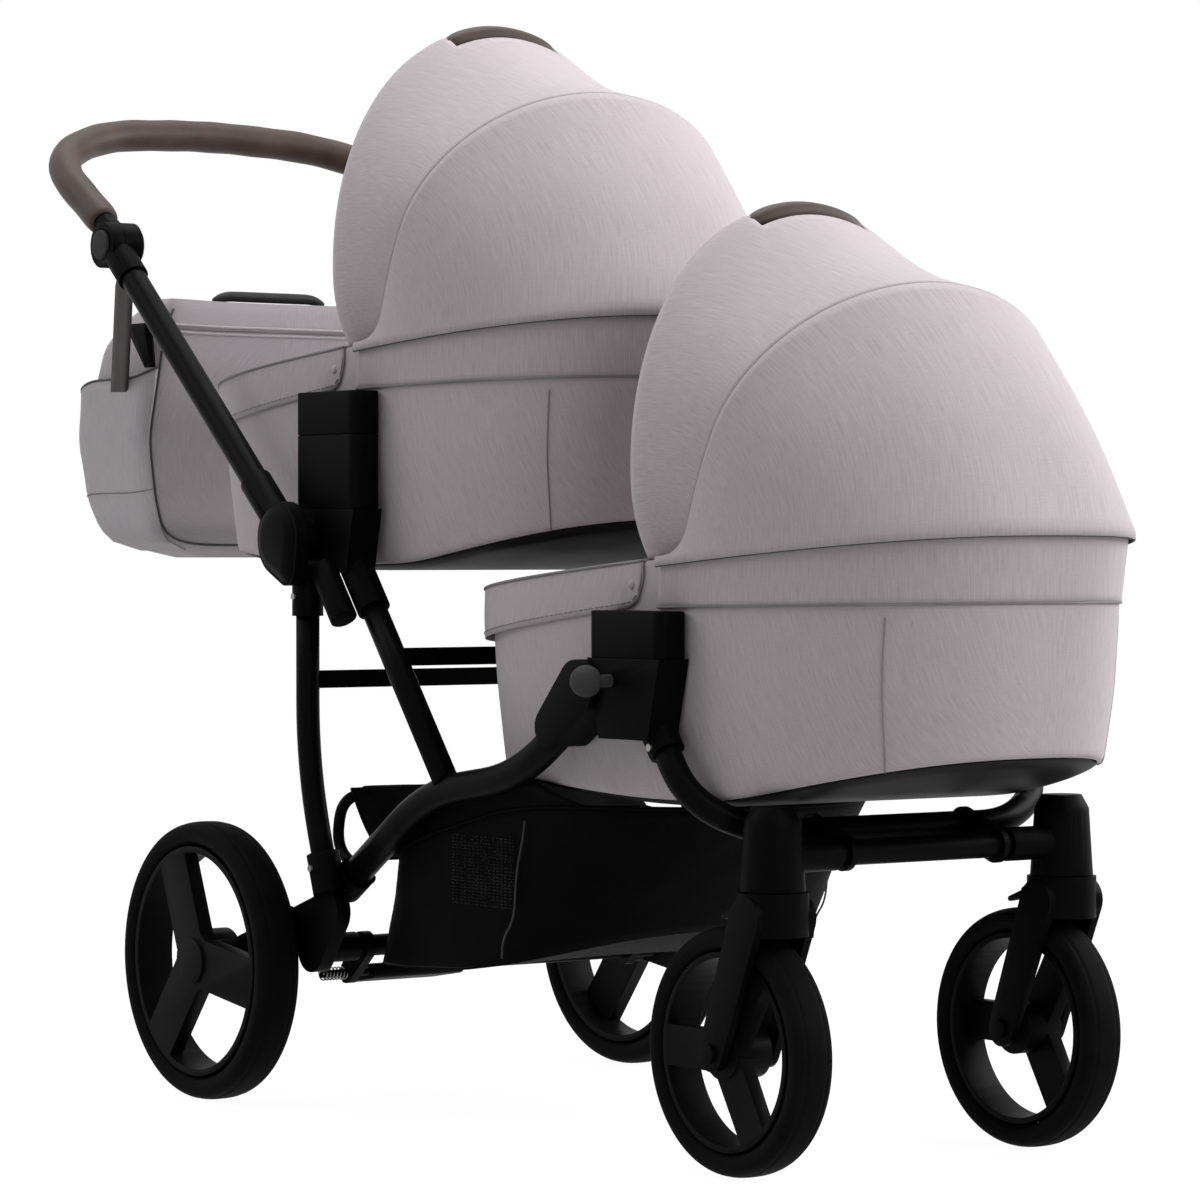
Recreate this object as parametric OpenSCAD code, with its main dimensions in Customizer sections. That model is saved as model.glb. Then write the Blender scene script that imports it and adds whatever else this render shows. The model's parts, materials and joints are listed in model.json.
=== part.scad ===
// Twin pram: a four-wheeled chassis that carries two carrycots one behind the other.
// Lengths are in millimetres. X points forward, Y to the left, Z up from the floor.

/* [Overall] */
// Distance from the rear axle to the front axles
wheelbase = 776; // [760:1:800]
// Distance of the rear axle behind the middle of the part
rear_axle_back = 268.6; // [250:0.1:290]
// Clearance between neighbouring pieces
fit_gap = 0.3; // [0.2:0.05:0.5]
// Radial running clearance of pins and shafts
run_gap = 0.05; // [0.02:0.01:0.08]

/* [Rear wheels] */
// Outer diameter of a rear tyre
rear_wheel_d = 290; // [280:1:296]
// Width of a rear tyre
rear_tyre_w = 48; // [42:1:50]
// Height of a rear tyre from its seat to its tread
rear_tyre_h = 25; // [20:1:28]
// Thickness of a rear rim's barrel
rear_barrel_t = 7; // [5:1:9]
// Distance of a rear tyre's middle outside a carrycot's side
wheel_outset = 73; // [70:1:84]
// Diameter of a rear stub axle
rear_axle_d = 12; // [10:1:14]

/* [Front wheels] */
// Outer diameter of a front tyre
front_wheel_d = 230; // [220:1:236]
// Width of a front tyre
front_tyre_w = 44; // [38:1:46]
// Height of a front tyre from its seat to its tread
front_tyre_h = 23; // [18:1:26]
// Thickness of a front rim's barrel
front_barrel_t = 6; // [4:1:8]
// Distance between the middles of the front tyres
front_track = 350; // [340:1:356]
// Distance of a swivel axis ahead of its axle
swivel_trail = 49; // [44:1:54]
// Diameter of a front axle bolt
front_axle_d = 10; // [8:1:12]
// Diameter of a fork's stem
stem_d = 16; // [14:1:18]

/* [Frame tubes] */
// Diameter of a rear leg
leg_d = 24; // [20:1:25]
// Diameter of a lower side tube
side_d = 30; // [26:1:30]
// Diameter of a strut
strut_d = 26; // [22:1:27]
// Diameter of the front hoop
hoop_d = 26; // [22:1:28]
// Diameter of the front cross tube
cross_d = 24; // [20:1:26]
// Diameter of the rear beam
beam_d = 22; // [18:1:24]
// Wall of the straight tubes
tube_wall = 1.8; // [1.2:0.1:2.5]

/* [Pusher and handle] */
// Diameter of a pusher tube
pusher_d = 28; // [24:1:29]
// Distance of a pusher tube's axis outside a rear leg's axis
pusher_outset = 16; // [14:1:20]
// Diameter of the handle bar
bar_d = 26; // [22:1:28]
// Diameter of the leather grip
grip_d = 36; // [32:1:40]
// Reach of the handle beyond its hinges
handle_reach = 278; // [250:1:290]

/* [Carrycots] */
// Half of a carrycot's outside width at the rim
cot_half_w = 200; // [190:1:210]
// Reach of a carrycot from its hood pivot to the foot end
cot_foot_reach = 424; // [405:1:426]
// Reach of a carrycot from its hood pivot to the head end
cot_head_reach = 330; // [320:1:340]
// Depth of a carrycot below its hood pivot
cot_depth = 204; // [192:1:206]
// Height of the main bow's middle line above the hood pivot
main_bow_h = 359; // [340:1:370]
// Height of the middle bow's middle line along its slanted plane
mid_bow_h = 320; // [300:1:330]
// Diameter of a hood bow
bow_d = 12; // [10:1:13]

/* [Changing bag] */
// Width of the bag across the pram
bag_w = 330; // [300:2:340]
// Height of the bag
bag_h = 290; // [260:2:300]
// Thickness of the bag
bag_t = 150; // [120:2:160]

/* [Hidden] */
$fn = 48;
// Facets round a bent tube, a bow and a thin wire
tube_sides = 12;
bow_sides = 8;
wire_sides = 6;
// Steps along a bend and points round a carrycot or basket outline
bend_steps = 5;
plan_steps = 32;
// Length by which cuts run past the faces that they open
overrun = 1;

// Rear wheel: spokes, hub and where the first spoke points
rear_spoke_w = 52;
rear_spoke_t = 16;
rear_hub_d = 66;
rear_hub_cap_d = 48;
rear_spoke_turn = -112;
// Front wheel: spokes, hub and where the first spoke points
front_spoke_w = 38;
front_spoke_t = 14;
front_hub_d = 50;
front_spoke_turn = -180;
spokes = 3;
hub_cap_t = 3;
rim_inset = 3;
axle_shoulder = 5;
tyre_power = 2.7;
tyre_steps = 28;
rear_seat_d = rear_wheel_d - 2 * rear_tyre_h;
rear_barrel_d = rear_seat_d - 2 * rear_barrel_t;
front_seat_d = front_wheel_d - 2 * front_tyre_h;
front_barrel_d = front_seat_d - 2 * front_barrel_t;

// Side planes of the frame, as distances from the middle plane
rear_track = 2 * (cot_half_w + wheel_outset);
foot_out_y = rear_track / 2 - rear_tyre_w / 2 - axle_shoulder;
leg_inset = 4;
leg_y = foot_out_y - leg_inset;
side_outset = 12;
side_to_leg = 28;
side_y = max(cot_half_w + side_outset, leg_y - side_to_leg);
strut_outset = 3;
strut_y = side_y + strut_outset;
hoop_outset = 1;
hoop_y = side_y + hoop_outset;
pusher_y = leg_y + pusher_outset;
block_in_y = cot_half_w + fit_gap;
block_inset = 5;
block_out_y = leg_y - block_inset;
block_t = block_out_y - block_in_y;
lobe_proud = 8;
front_lobe_out_y = block_out_y + lobe_proud;
// Middle of the front joint, as a distance from the rear axle
front_block_back = 99;
front_block_x = wheelbase - front_block_back;

// Rear leg and rear foot
leg_x = 140;
leg_top_z = 546;
leg_bend_z = 350;
leg_foot_x = 178;
leg_foot_z = 236;
leg_ease = 70;
foot_socket_d = 34;
foot_socket_h = 30;
foot_arm_t = 16;
foot_arm_r = 24;
foot_end_r = 20;
foot_drop = 30;
foot_knob_d = 18;
foot_knob_x = 88;

// Lower side tube
side_rear_x = 176;
side_rear_z = 236;
side_front_back = 87;
side_front_x = front_block_x - side_front_back;
side_front_z = 430;
side_low_share = 0.353;
side_low_x = side_rear_x + (side_front_x - side_rear_x) * side_low_share;
side_low_z = 333;
side_rise_share = 0.73;
side_rise_x = side_rear_x + (side_front_x - side_rear_x) * side_rise_share;
side_rise_z = 354;
side_bend_share = 0.38;
side_ease = norm([side_rise_x - side_low_x, side_rise_z - side_low_z]) * side_bend_share;
side_socket_l = 34;
socket_wall = 4;

// Fold pin, rear joint, riser and strut
fold_x = 132;
fold_z = 585;
fold_pin_d = 14;
fold_boss_d = 44;
riser_low_z = 615;
riser_top_z = 691;
block_l = 112;
block_r = 10;
rear_block_x = 162;
tower_low_z = 550;
tower_inset = 14;
strut_top_x = 188;
strut_top_z = 562;
strut_foot_share = 0.21;
strut_foot_lift = 9;
strut_low_x = side_low_x + (side_rise_x - side_low_x) * strut_foot_share;
strut_low_z = side_low_z + (side_rise_z - side_low_z) * strut_foot_share + strut_foot_lift;
strut_socket_l = 62;
lock_stub_d = 28;
lock_stub_x = 168;
lock_stub_z = 556;
lock_stub_l = 66;
lock_stub_y = leg_y;
leg_socket_l = 40;
peg_l = 60;
peg_w = 18;
peg_h = 40;

// Crossbars
bar_h = 18;
bar_t = 8;
leg_bar_z = 441;
strut_bar_z = 466;

// Front joint, hoop, cross tube and swivel housing
front_seat_z = 473;
front_low_z = 398;
front_inset = 18;
front_arm_back = 65;
front_arm_x = front_block_x - front_arm_back;
front_arm_z = 444;
front_lobe_r = 27;
front_lobe_end_r = 19;
front_lobe_back = 111;
front_lobe_end_x = front_block_x - front_lobe_back;
front_lobe_end_z = 406;
hoop_ahead = 13;
hoop_top_z = 424;
hoop_knee_back = 77;
hoop_knee_z = 343;
hoop_low_back = 46;
hoop_low_gap = 7;
hoop_corner_in = 50;
hoop_corner_y = cot_half_w - hoop_corner_in;
hoop_ease = 38;
hoop_socket_l = 46;
swivel_x = wheelbase + swivel_trail;
housing_low_z = 264;
housing_top_z = 328;
housing_low_d = 60;
housing_top_d = 52;
housing_cap_h = 13;
housing_cap_inset = 7;
cross_z = 296;
cross_sleeve_l = 42;
plate_in = 11;
plate_y = front_track / 2 - housing_low_d / 2 - cross_sleeve_l - plate_in;
plate_t = 6;
plate_r = 17;
knob_back = 20;
knob_x = front_block_x - knob_back;
knob_z = 452;
knob_d = 30;
knob_shank_d = 12;
knob_travel = 4;

// Fork and swivel lock
crown_d = 66;
crown_low_z = 224;
blade_t = 8;
blade_gap = 4;
blade_top_r = 21;
blade_low_r = 17;
blade_top_z = 240;
wheel_gap = 5;
bolt_head_d = 18;
bolt_head_t = 4;
lock_z = 246;
lock_l = 34;
lock_w = 18;
lock_t = 9;
lock_tip_d = 5;
lock_pin_d = 4;
lug_t = 4;
lug_d = 11;
stem_top_gap = 10;

// Rear beam, brake rod, pedal and return spring
beam_x = 150;
beam_z = 166;
beam_collar_l = 22;
brake_x = 122;
brake_z = 136;
brake_rod_d = 8;
hanger_inset = 34;
hanger_y = side_y - hanger_inset;
hanger_t = 10;
hanger_r = 11;
pedal_l = 112;
pedal_in = 21;
pedal_y = hanger_t / 2 + pedal_in + pedal_l / 2 - hanger_y;
pedal_reach = 52;
pedal_t = 9;
pedal_drop = 12;
spring_curls = 7;
spring_r = 6.2;
spring_wire_d = 1.6;
spring_pitch = 4.2;
spring_rings = 8;

// Basket, its rear hoop and its mesh windows
basket_rear_x = 214;
basket_front_back = 57;
basket_front_x = front_block_x - basket_front_back;
basket_side_gap = 3;
basket_half_w = side_y - side_d / 2 - basket_side_gap;
basket_low_rear_x = 186;
basket_low_back = 167;
basket_low_front_x = front_block_x - basket_low_back;
basket_low_z = 152;
basket_rear_z = 262;
basket_front_z = 325;
basket_rim_rise = 24;
basket_nose_rise = 46;
basket_wall = 3;
basket_power = 12;
basket_front_power = 2.4;
basket_hoop_d = 12;
basket_hoop_x = 122;
basket_hoop_z = 320;
basket_knee_x = 110;
basket_knee_z = 264;
basket_hoop_ease = 26;
loop_l = 28;
loop_t = 2.5;
loop_drop = 66;
net_x = 378;
net_z = 214;
net_l = 100;
net_h = 84;
net_t = 1.2;
net_bar = 2;
net_columns = 12;
net_rows = 11;

// Handle hinge, handle bar and buttons
hinge_x = -230;
hinge_z = 905;
knuckle_r = 25;
knuckle_t = 15;
knuckle_pin_d = 10;
sleeve_wall = 3;
handle_angle = 33;
bar_shoulder = 188;
bar_corner = 262;
bar_corner_in = 93;
bar_ease = 58;
grip_start = 50;
button_d = 32;
button_t = 12;
button_travel = 4;
cover_r = 38;
cover_end_r = 18;
cover_t = 16;
cover_ahead = 16;
cover_drop = 30;
cover_neck = 32;
pusher_low_gap = 62;
pusher_top_gap = 30;
pusher_sleeve_l = 54;

// Changing bag, straps and carry handle
bag_x = -401;
bag_low_z = 565;
bag_lean = 76;
bag_power = 10;
bag_level_shares = [0, 0.03, 0.06, 0.115, 0.23, 0.46, 0.66, 0.82, 0.91, 0.97, 1];
bag_depth_shares = [0.45, 0.65, 0.8, 0.9, 1, 1, 0.95, 0.9, 0.69, 0.45, 0.33];
bag_width_shares = [0.5, 0.72, 0.9, 0.98, 1, 1, 1, 0.98, 0.95, 0.9, 0.86];
bag_shift_shares = [0.42, 0.42, 0.4, 0.37, 0.17, 0, 0.27, 0.42, 0.67, 0.9, 1];
strap_w = 34;
strap_t = 4;
strap_low_z = 758;
strap_ahead = 45;
bag_handle_d = 14;
bag_handle_l = 146;
bag_handle_h = 12;
bag_handle_ease = 8;

// Carrycot: pivots of the two, outline, shell and soft parts
pivot_ahead = 5;
bracket_low = 64;
bracket_top = 20;
rear_pivot_x = rear_block_x + pivot_ahead;
rear_pivot_z = riser_top_z + bracket_low;
front_pivot_x = front_block_x + pivot_ahead;
front_pivot_z = front_seat_z + bracket_low;
cot_mid_x = (cot_head_reach - cot_foot_reach) / 2;
cot_half_l = (cot_head_reach + cot_foot_reach) / 2;
cot_power = 2.7;
keel_front_x = 75;
keel_back_x = -60;
keel_ease = 40;
head_rise_share = 0.205;
foot_rise_share = 0.055;
cot_wall = 6;
rim_mid_z = 25;
rim_slope_share = 0.085;
cuff_z = -18;
cuff_end_in = 12;
waist_z = -72;
waist_end_in = 17;
edge_h = 12;
edge_end_in = 24;
edge_side_in = 12;
base_end_in = 30;
base_side_in = 18;
tray_h = 6;
tray_draw_in = 30;
apron_t = 3;
apron_low_z = -13.5;
apron_slope_share = 0.107;
apron_crown = 8;
apron_back_x = -18;
apron_ring_shares = [1, 0.8, 0.5, 0.15];
mattress_t = 42;
mattress_crown = 14;
mattress_gap = 14;
mattress_lift = 1.6;
mattress_tuck = 100;
mattress_in_shares = [0.14, 0, 0, 0.1, 0.45, 1];
mattress_height_shares = [0, 0.35, 0.7, 1, 1, 1];
mattress_crown_shares = [0, 0, 0, 0, 0.7, 1];
pin_d = 8;
pin_flange_d = 20;
pin_flange_t = 3;
pin_in = 2;
eye_d = 20;
eye_t = 12;
eye_gap = 0.6;
hood_t = 2.4;
hood_gap = 1.2;
hood_seam_share = 0.99;
bow_foot_r = 28;
bow_start_r = eye_d / 2 + fit_gap;
bow_side_share = 0.25;
main_bow_angle = -5;
mid_bow_angle = 31;
main_bow_in = 0.5;
main_bow_half_w = cot_half_w - main_bow_in;
main_shoulder_r = 95;
mid_bow_in = 9.6;
mid_bow_half_w = cot_half_w - mid_bow_in;
mid_shoulder_r = 170;
hood_steps = 28;
hood_rows = 4;
hood_band = 5;
hood_bulge = 6;
hood_dip = 12;
hood_mid_x = 90;
hood_mid_z = 40;
hood_edge_x = 6;
handle_sleeve_d = 24;
handle_sleeve_half_w = 66;
handle_notch = 2;

// Screws that show at the joints
screw_d = 7;
screw_t = 2.5;
hoop_screw_share = 0.86;

// Vectors, bends and swept solids
function unit(v) = v / norm(v);
function mix(a, b, share) = a + (b - a) * share;
function bend_point(a, corner, b, share) =
    mix(mix(a, corner, share), mix(corner, b, share), share);
function eased(route, run) = [
    route[0],
    for (i = [1 : len(route) - 2], step = [0 : bend_steps])
        bend_point(route[i] + unit(route[i - 1] - route[i]) * run, route[i],
            route[i] + unit(route[i + 1] - route[i]) * run, step / bend_steps),
    route[len(route) - 1]];
function heading(path, i) = unit(
    (i > 0 ? unit(path[i] - path[i - 1]) : [0, 0, 0]) +
    (i < len(path) - 1 ? unit(path[i + 1] - path[i]) : [0, 0, 0]));
function ring_at(path, i, d, across, sides) =
    let (along = heading(path, i), u = unit(cross(across, along)), v = cross(along, u))
    [for (k = [0 : sides - 1])
        path[i] + (u * cos(360 * k / sides) + v * sin(360 * k / sides)) * d / 2];
function across_y(route) = [for (p = route) [p.x, -p.y, p.z]];
function reversed(list) = [for (i = [len(list) - 1 : -1 : 0]) list[i]];

// Triangles that close a ring by joining its two sides across, rung by rung
function ladder(n, strip) = concat(
    [for (k = [0 : n / 2 - 2]) [k, k + 1, (strip ? n - 2 : n - 1) - k]],
    [for (k = [strip ? 0 : 1 : n / 2 - (strip ? 2 : 1)])
        [k, (strip ? n - 2 : n - 1) - k, (strip ? n - 1 : n) - k]]);
// A closed solid whose surface runs over a row of rings of equal length
module skin(rings, strip = false) {
    n = len(rings[0]);
    m = len(rings);
    polyhedron(
        points = [for (ring = rings) each ring],
        faces = concat(
            ladder(n, strip),
            [for (i = [0 : m - 2], k = [0 : n - 1])
                [i * n + k, (i + 1) * n + k, (i + 1) * n + (k + 1) % n]],
            [for (i = [0 : m - 2], k = [0 : n - 1])
                [i * n + k, (i + 1) * n + (k + 1) % n, i * n + (k + 1) % n]],
            [for (f = ladder(n, strip)) [for (k = reversed(f)) (m - 1) * n + k]]));
}
module swept(path, d, across, sides = tube_sides)
    skin([for (i = [0 : len(path) - 1]) ring_at(path, i, d, across, sides)]);
module swept_sleeve(path, d, bore_d, across, sides = tube_sides) {
    n = len(path);
    outer = [for (i = [0 : n - 1]) ring_at(path, i, d, across, sides)];
    inner = [for (i = [0 : n - 1]) ring_at(path, i, bore_d, across, sides)];
    points = [for (ring = concat(outer, inner)) each ring];
    function quad(a, b, c, e) = [[a, b, c], [a, c, e]];
    polyhedron(points, concat(
        [for (i = [0 : n - 2], k = [0 : sides - 1]) let (l = (k + 1) % sides)
            each quad(i * sides + k, (i + 1) * sides + k, (i + 1) * sides + l, i * sides + l)],
        [for (i = [n : 2 * n - 2], k = [0 : sides - 1]) let (l = (k + 1) % sides)
            each quad(i * sides + k, i * sides + l, (i + 1) * sides + l, (i + 1) * sides + k)],
        [for (k = [0 : sides - 1]) let (l = (k + 1) % sides)
            each quad(k, l, n * sides + l, n * sides + k)],
        [for (k = [0 : sides - 1]) let (l = (k + 1) % sides, a = (n - 1) * sides, b = (2 * n - 1) * sides)
            each quad(a + k, b + k, b + l, a + l)]));
}

// Straight round rods and tubes between two points
module rod(a, b, d) {
    v = b - a;
    translate(a) rotate([0, acos(v.z / norm(v)), atan2(v.y, v.x)]) cylinder(d = d, h = norm(v));
}
module tube(a, b, d, wall) difference() {
    rod(a, b, d);
    rod(a - unit(b - a) * overrun, b + unit(b - a) * overrun, d - 2 * wall);
}
module cross_rod(x, y_from, y_to, z, d) translate([x, y_from, z])
    rotate([-90, 0, 0]) cylinder(d = d, h = y_to - y_from);

// Places: from the rear axle, on both sides, and on the left side only
module placed() translate([-rear_axle_back, 0, 0]) children();
module left_side() mirror([0, 1, 0]) children();
module both_sides() {
    children();
    left_side() children();
}
// A flat outline in X and Z, given a thickness from one Y to another
module side_plate(y_from, y_to) translate([0, y_to, 0])
    rotate([90, 0, 0]) linear_extrude(y_to - y_from) children();
module rounded_rect(l, w, r) {
    square([l - 2 * r, w], center = true);
    square([l, w - 2 * r], center = true);
    for (x = [-1, 1], y = [-1, 1]) translate([x * (l / 2 - r), y * (w / 2 - r)]) circle(r);
}
module block(x, z_from, z_to, l) translate([x, -(block_in_y + block_out_y) / 2, z_from])
    linear_extrude(z_to - z_from) rounded_rect(l, block_t, block_r);
module peg(x, z, gap = 0, drop = 0) translate([x, -(block_in_y + block_out_y) / 2, z - drop])
    linear_extrude(peg_h + gap + drop) square([peg_l + 2 * gap, peg_w + 2 * gap], center = true);

// Wheels, modelled with the axle along Z and the inner side up
function tyre_outline(wheel_d, seat_d, tyre_w) =
    let (mid_r = (wheel_d + seat_d) / 4, half_h = (wheel_d - seat_d) / 4, e = 2 / tyre_power)
    [for (k = [0 : tyre_steps - 1]) let (c = cos(360 * k / tyre_steps), s = sin(360 * k / tyre_steps))
        [mid_r + half_h * sign(c) * pow(abs(c), e), tyre_w / 2 * sign(s) * pow(abs(s), e)]];
module tyre(wheel_d, seat_d, tyre_w) color("#1b1a1a")
    rotate_extrude() polygon(tyre_outline(wheel_d, seat_d, tyre_w));
module rim(seat_d, barrel_d, tyre_w, spoke_w, spoke_t, spoke_turn, hub_d, cap_d, bore_d) color("#211f1e")
    difference() {
        union() {
            linear_extrude(tyre_w - 2 * rim_inset, center = true) difference() {
                circle(d = seat_d - 2 * fit_gap);
                circle(d = barrel_d);
            }
            translate([0, 0, rim_inset - tyre_w / 2]) {
                for (k = [0 : spokes - 1]) rotate(spoke_turn + 360 * k / spokes)
                    linear_extrude(spoke_t) translate([0, -spoke_w / 2])
                        square([barrel_d / 2 + fit_gap, spoke_w]);
                cylinder(d = hub_d, h = tyre_w - 2 * rim_inset);
                translate([0, 0, -hub_cap_t]) cylinder(d = cap_d, h = tyre_w / 2);
            }
        }
        translate([0, 0, hub_cap_t + rim_inset - tyre_w / 2]) cylinder(d = bore_d, h = tyre_w);
    }
module wheel_at(x, track, wheel_d) placed() translate([x, -track / 2, wheel_d / 2])
    rotate([-90, 0, 0]) children();
module rear_wheel() wheel_at(0, rear_track, rear_wheel_d) children();
module front_wheel() wheel_at(wheelbase, front_track, front_wheel_d) children();
module rear_tyre() rear_wheel() tyre(rear_wheel_d, rear_seat_d, rear_tyre_w);
module rear_rim() rear_wheel() rim(rear_seat_d, rear_barrel_d, rear_tyre_w, rear_spoke_w, rear_spoke_t,
    rear_spoke_turn, rear_hub_d, rear_hub_cap_d, rear_axle_d + 2 * run_gap);
module front_tyre() front_wheel() tyre(front_wheel_d, front_seat_d, front_tyre_w);
module front_rim() front_wheel() difference() {
    rim(front_seat_d, front_barrel_d, front_tyre_w, front_spoke_w, front_spoke_t,
        front_spoke_turn, front_hub_d, front_hub_d, front_axle_d + 2 * run_gap);
    translate([0, 0, -front_tyre_w]) cylinder(d = front_axle_d + 2 * run_gap, h = 2 * front_tyre_w);
}
module rear_right_tyre() rear_tyre();
module rear_right_rim() rear_rim();
module rear_left_tyre() left_side() rear_tyre();
module rear_left_rim() left_side() rear_rim();
module front_right_tyre() front_tyre();
module front_right_rim() front_rim();
module front_left_tyre() left_side() front_tyre();
module front_left_rim() left_side() front_rim();

// Fork with its stem and axle bolt, and the swivel lock lever behind its crown
fork_half_gap = front_tyre_w / 2 + blade_gap;
module fork() color("#191818") placed() translate([0, -front_track / 2, 0]) {
    difference() {
        union() {
            translate([swivel_x, 0, crown_low_z])
                cylinder(d = crown_d, h = housing_low_z - fit_gap - crown_low_z);
            for (side = [-1, 1]) side_plate(side * (fork_half_gap + blade_t / 2) - blade_t / 2,
                    side * (fork_half_gap + blade_t / 2) + blade_t / 2) hull() {
                translate([swivel_x, blade_top_z]) circle(blade_top_r, $fn = 32);
                translate([wheelbase, front_wheel_d / 2]) circle(blade_low_r, $fn = 32);
            }
        }
        cross_rod(wheelbase, -fork_half_gap, fork_half_gap, front_wheel_d / 2,
            front_wheel_d + 2 * wheel_gap);
    }
    for (side = [-1, 1]) {
        translate([lock_x, side * (lock_w + lug_t) / 2 + side * fit_gap - lug_t / 2, lock_z - lug_d / 2])
            cube([swivel_x - lock_x, lug_t, lug_d]);
        cross_rod(lock_x, side * (lock_w + lug_t) / 2 + side * fit_gap - lug_t / 2,
            side * (lock_w + lug_t) / 2 + side * fit_gap + lug_t / 2, lock_z, lug_d);
    }
    cross_rod(lock_x, -lock_w / 2 - lug_t, lock_w / 2 + lug_t, lock_z, lock_pin_d);
    translate([swivel_x, 0, housing_low_z - fit_gap - overrun])
        cylinder(d = stem_d, h = housing_top_z - stem_top_gap - housing_low_z);
    cross_rod(wheelbase, -fork_half_gap - blade_t - bolt_head_t, fork_half_gap + blade_t + bolt_head_t,
        front_wheel_d / 2, front_axle_d);
    for (side = [-1, 1]) translate([wheelbase, side * (fork_half_gap + blade_t), front_wheel_d / 2])
        rotate([-90 * side, 0, 0]) cylinder(d = bolt_head_d, h = bolt_head_t);
}
module right_fork() fork();
module left_fork() left_side() fork();
lock_x = swivel_x - crown_d / 2 - lock_t / 2 - fit_gap;
module swivel_lock() color("#151414") placed() translate([lock_x, -front_track / 2, lock_z]) difference() {
    hull() {
        cross_rod(0, -lock_w / 2, lock_w / 2, 0, lock_t, $fn = 32);
        cross_rod(-lock_l, -lock_tip_d / 2, lock_tip_d / 2, -lock_t, lock_tip_d, $fn = 32);
    }
    cross_rod(0, -lock_w, lock_w, 0, lock_pin_d + 2 * run_gap);
}
module right_swivel_lock() swivel_lock();
module left_swivel_lock() left_side() swivel_lock();

// Frame tubes
leg_route = [[leg_x, -leg_y, leg_top_z], [leg_x, -leg_y, leg_bend_z], [leg_foot_x, -leg_y, leg_foot_z]];
side_route = [[side_rear_x, -side_y, side_rear_z], [side_low_x, -side_y, side_low_z],
    [side_rise_x, -side_y, side_rise_z], [side_front_x, -side_y, side_front_z]];
hoop_top_x = front_block_x + hoop_ahead;
hoop_knee_x = swivel_x - hoop_knee_back;
hoop_low_x = swivel_x - hoop_low_back;
hoop_low_z = front_pivot_z - cot_depth - hoop_low_gap - hoop_d / 2;
hoop_half = [[hoop_top_x, -hoop_y, hoop_top_z], [hoop_knee_x, -hoop_y, hoop_knee_z],
    [hoop_low_x, -hoop_corner_y, hoop_low_z]];
hoop_route = concat(hoop_half, reversed(across_y(hoop_half)));
strut_top = [strut_top_x, -strut_y, strut_top_z];
strut_low = [strut_low_x, -strut_y, strut_low_z];
strut_run = unit(strut_low - strut_top);
module leg(d = leg_d) swept(eased(leg_route, leg_ease), d, [0, 1, 0]);
module side_tube(d = side_d) swept(eased(side_route, side_ease), d, [0, 1, 0]);
module hoop(d = hoop_d) swept(eased(hoop_route, hoop_ease), d, [1, 0, 1]);
module rear_legs() color("#1d1c1c") placed() both_sides() leg();
module side_tubes() color("#1d1c1c") placed() both_sides() side_tube();
strut_cope_share = 0.78;
module struts() color("#1d1c1c") placed() both_sides()
    tube(strut_top, strut_low - strut_run * side_d * strut_cope_share, strut_d, tube_wall);
module front_hoop() color("#1d1c1c") placed() hoop();
module flat_bar(x, z, half_w) translate([x - bar_t / 2, -half_w, z - bar_h / 2])
    cube([bar_t, 2 * half_w, bar_h]);
strut_bar_share = (strut_top_z - strut_bar_z) / (strut_top_z - strut_low_z);
strut_bar_x = mix(strut_top_x, strut_low_x, strut_bar_share);
module crossbars() color("#161515") placed() {
    flat_bar(leg_x, leg_bar_z, leg_y - leg_d / 2 - fit_gap);
    flat_bar(strut_bar_x, strut_bar_z, strut_y - strut_d / 2 - fit_gap);
}
module front_cross_tube() color("#1d1c1c") placed() {
    tube([swivel_x, housing_low_d / 2 - front_track / 2, cross_z],
        [swivel_x, front_track / 2 - housing_low_d / 2, cross_z], cross_d, tube_wall);
    both_sides() difference() {
        side_plate(-plate_y - plate_t / 2, plate_t / 2 - plate_y) hull() {
            translate([swivel_x, cross_z]) circle(plate_r, $fn = 32);
            translate([hoop_low_x, hoop_low_z]) circle(plate_r, $fn = 32);
        }
        cross_rod(swivel_x, -front_track, 0, cross_z, cross_d - tube_wall);
        cross_rod(hoop_low_x, -front_track, 0, hoop_low_z, hoop_d + 2 * fit_gap);
    }
}

// Rear joint: tower under the riser, sockets for leg and strut, fold boss and lock stub
module rear_joint() difference() {
    union() {
        side_plate(-block_out_y, -block_in_y) polygon([
            [rear_block_x - block_l / 2, riser_low_z], [rear_block_x + block_l / 2, riser_low_z],
            [rear_block_x + block_l / 2 - tower_inset, tower_low_z],
            [rear_block_x - block_l / 2 + tower_inset, tower_low_z]]);
        rod(strut_top - strut_run * strut_d, strut_top + strut_run * strut_socket_l,
            strut_d + 2 * socket_wall);
        rod([leg_x, -leg_y, leg_top_z - leg_socket_l], [leg_x, -leg_y, leg_top_z + leg_d / 2],
            leg_d + 2 * socket_wall);
        cross_rod(fold_x, -cover_in_y + fit_gap, -block_in_y, fold_z, fold_boss_d);
        lock_end = [lock_stub_x, -lock_stub_y, lock_stub_z] + strut_run * lock_stub_l;
        rod([lock_stub_x, -lock_stub_y, lock_stub_z], lock_end, lock_stub_d);
    }
    rod(strut_top, strut_top + strut_run * (strut_socket_l + overrun), strut_d + 2 * fit_gap);
    rod([leg_x, -leg_y, leg_top_z - leg_socket_l - overrun], [leg_x, -leg_y, leg_top_z],
        leg_d + 2 * fit_gap);
    cross_rod(fold_x, -cover_in_y, -block_in_y + overrun, fold_z, fold_pin_d + 2 * run_gap);
}
module rear_joints() color("#141313") placed() both_sides() rear_joint();
module riser_adapters() color("#121111") placed() both_sides() {
    block(rear_block_x, riser_low_z, riser_top_z, block_l);
    peg(rear_block_x, riser_top_z);
}

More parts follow.
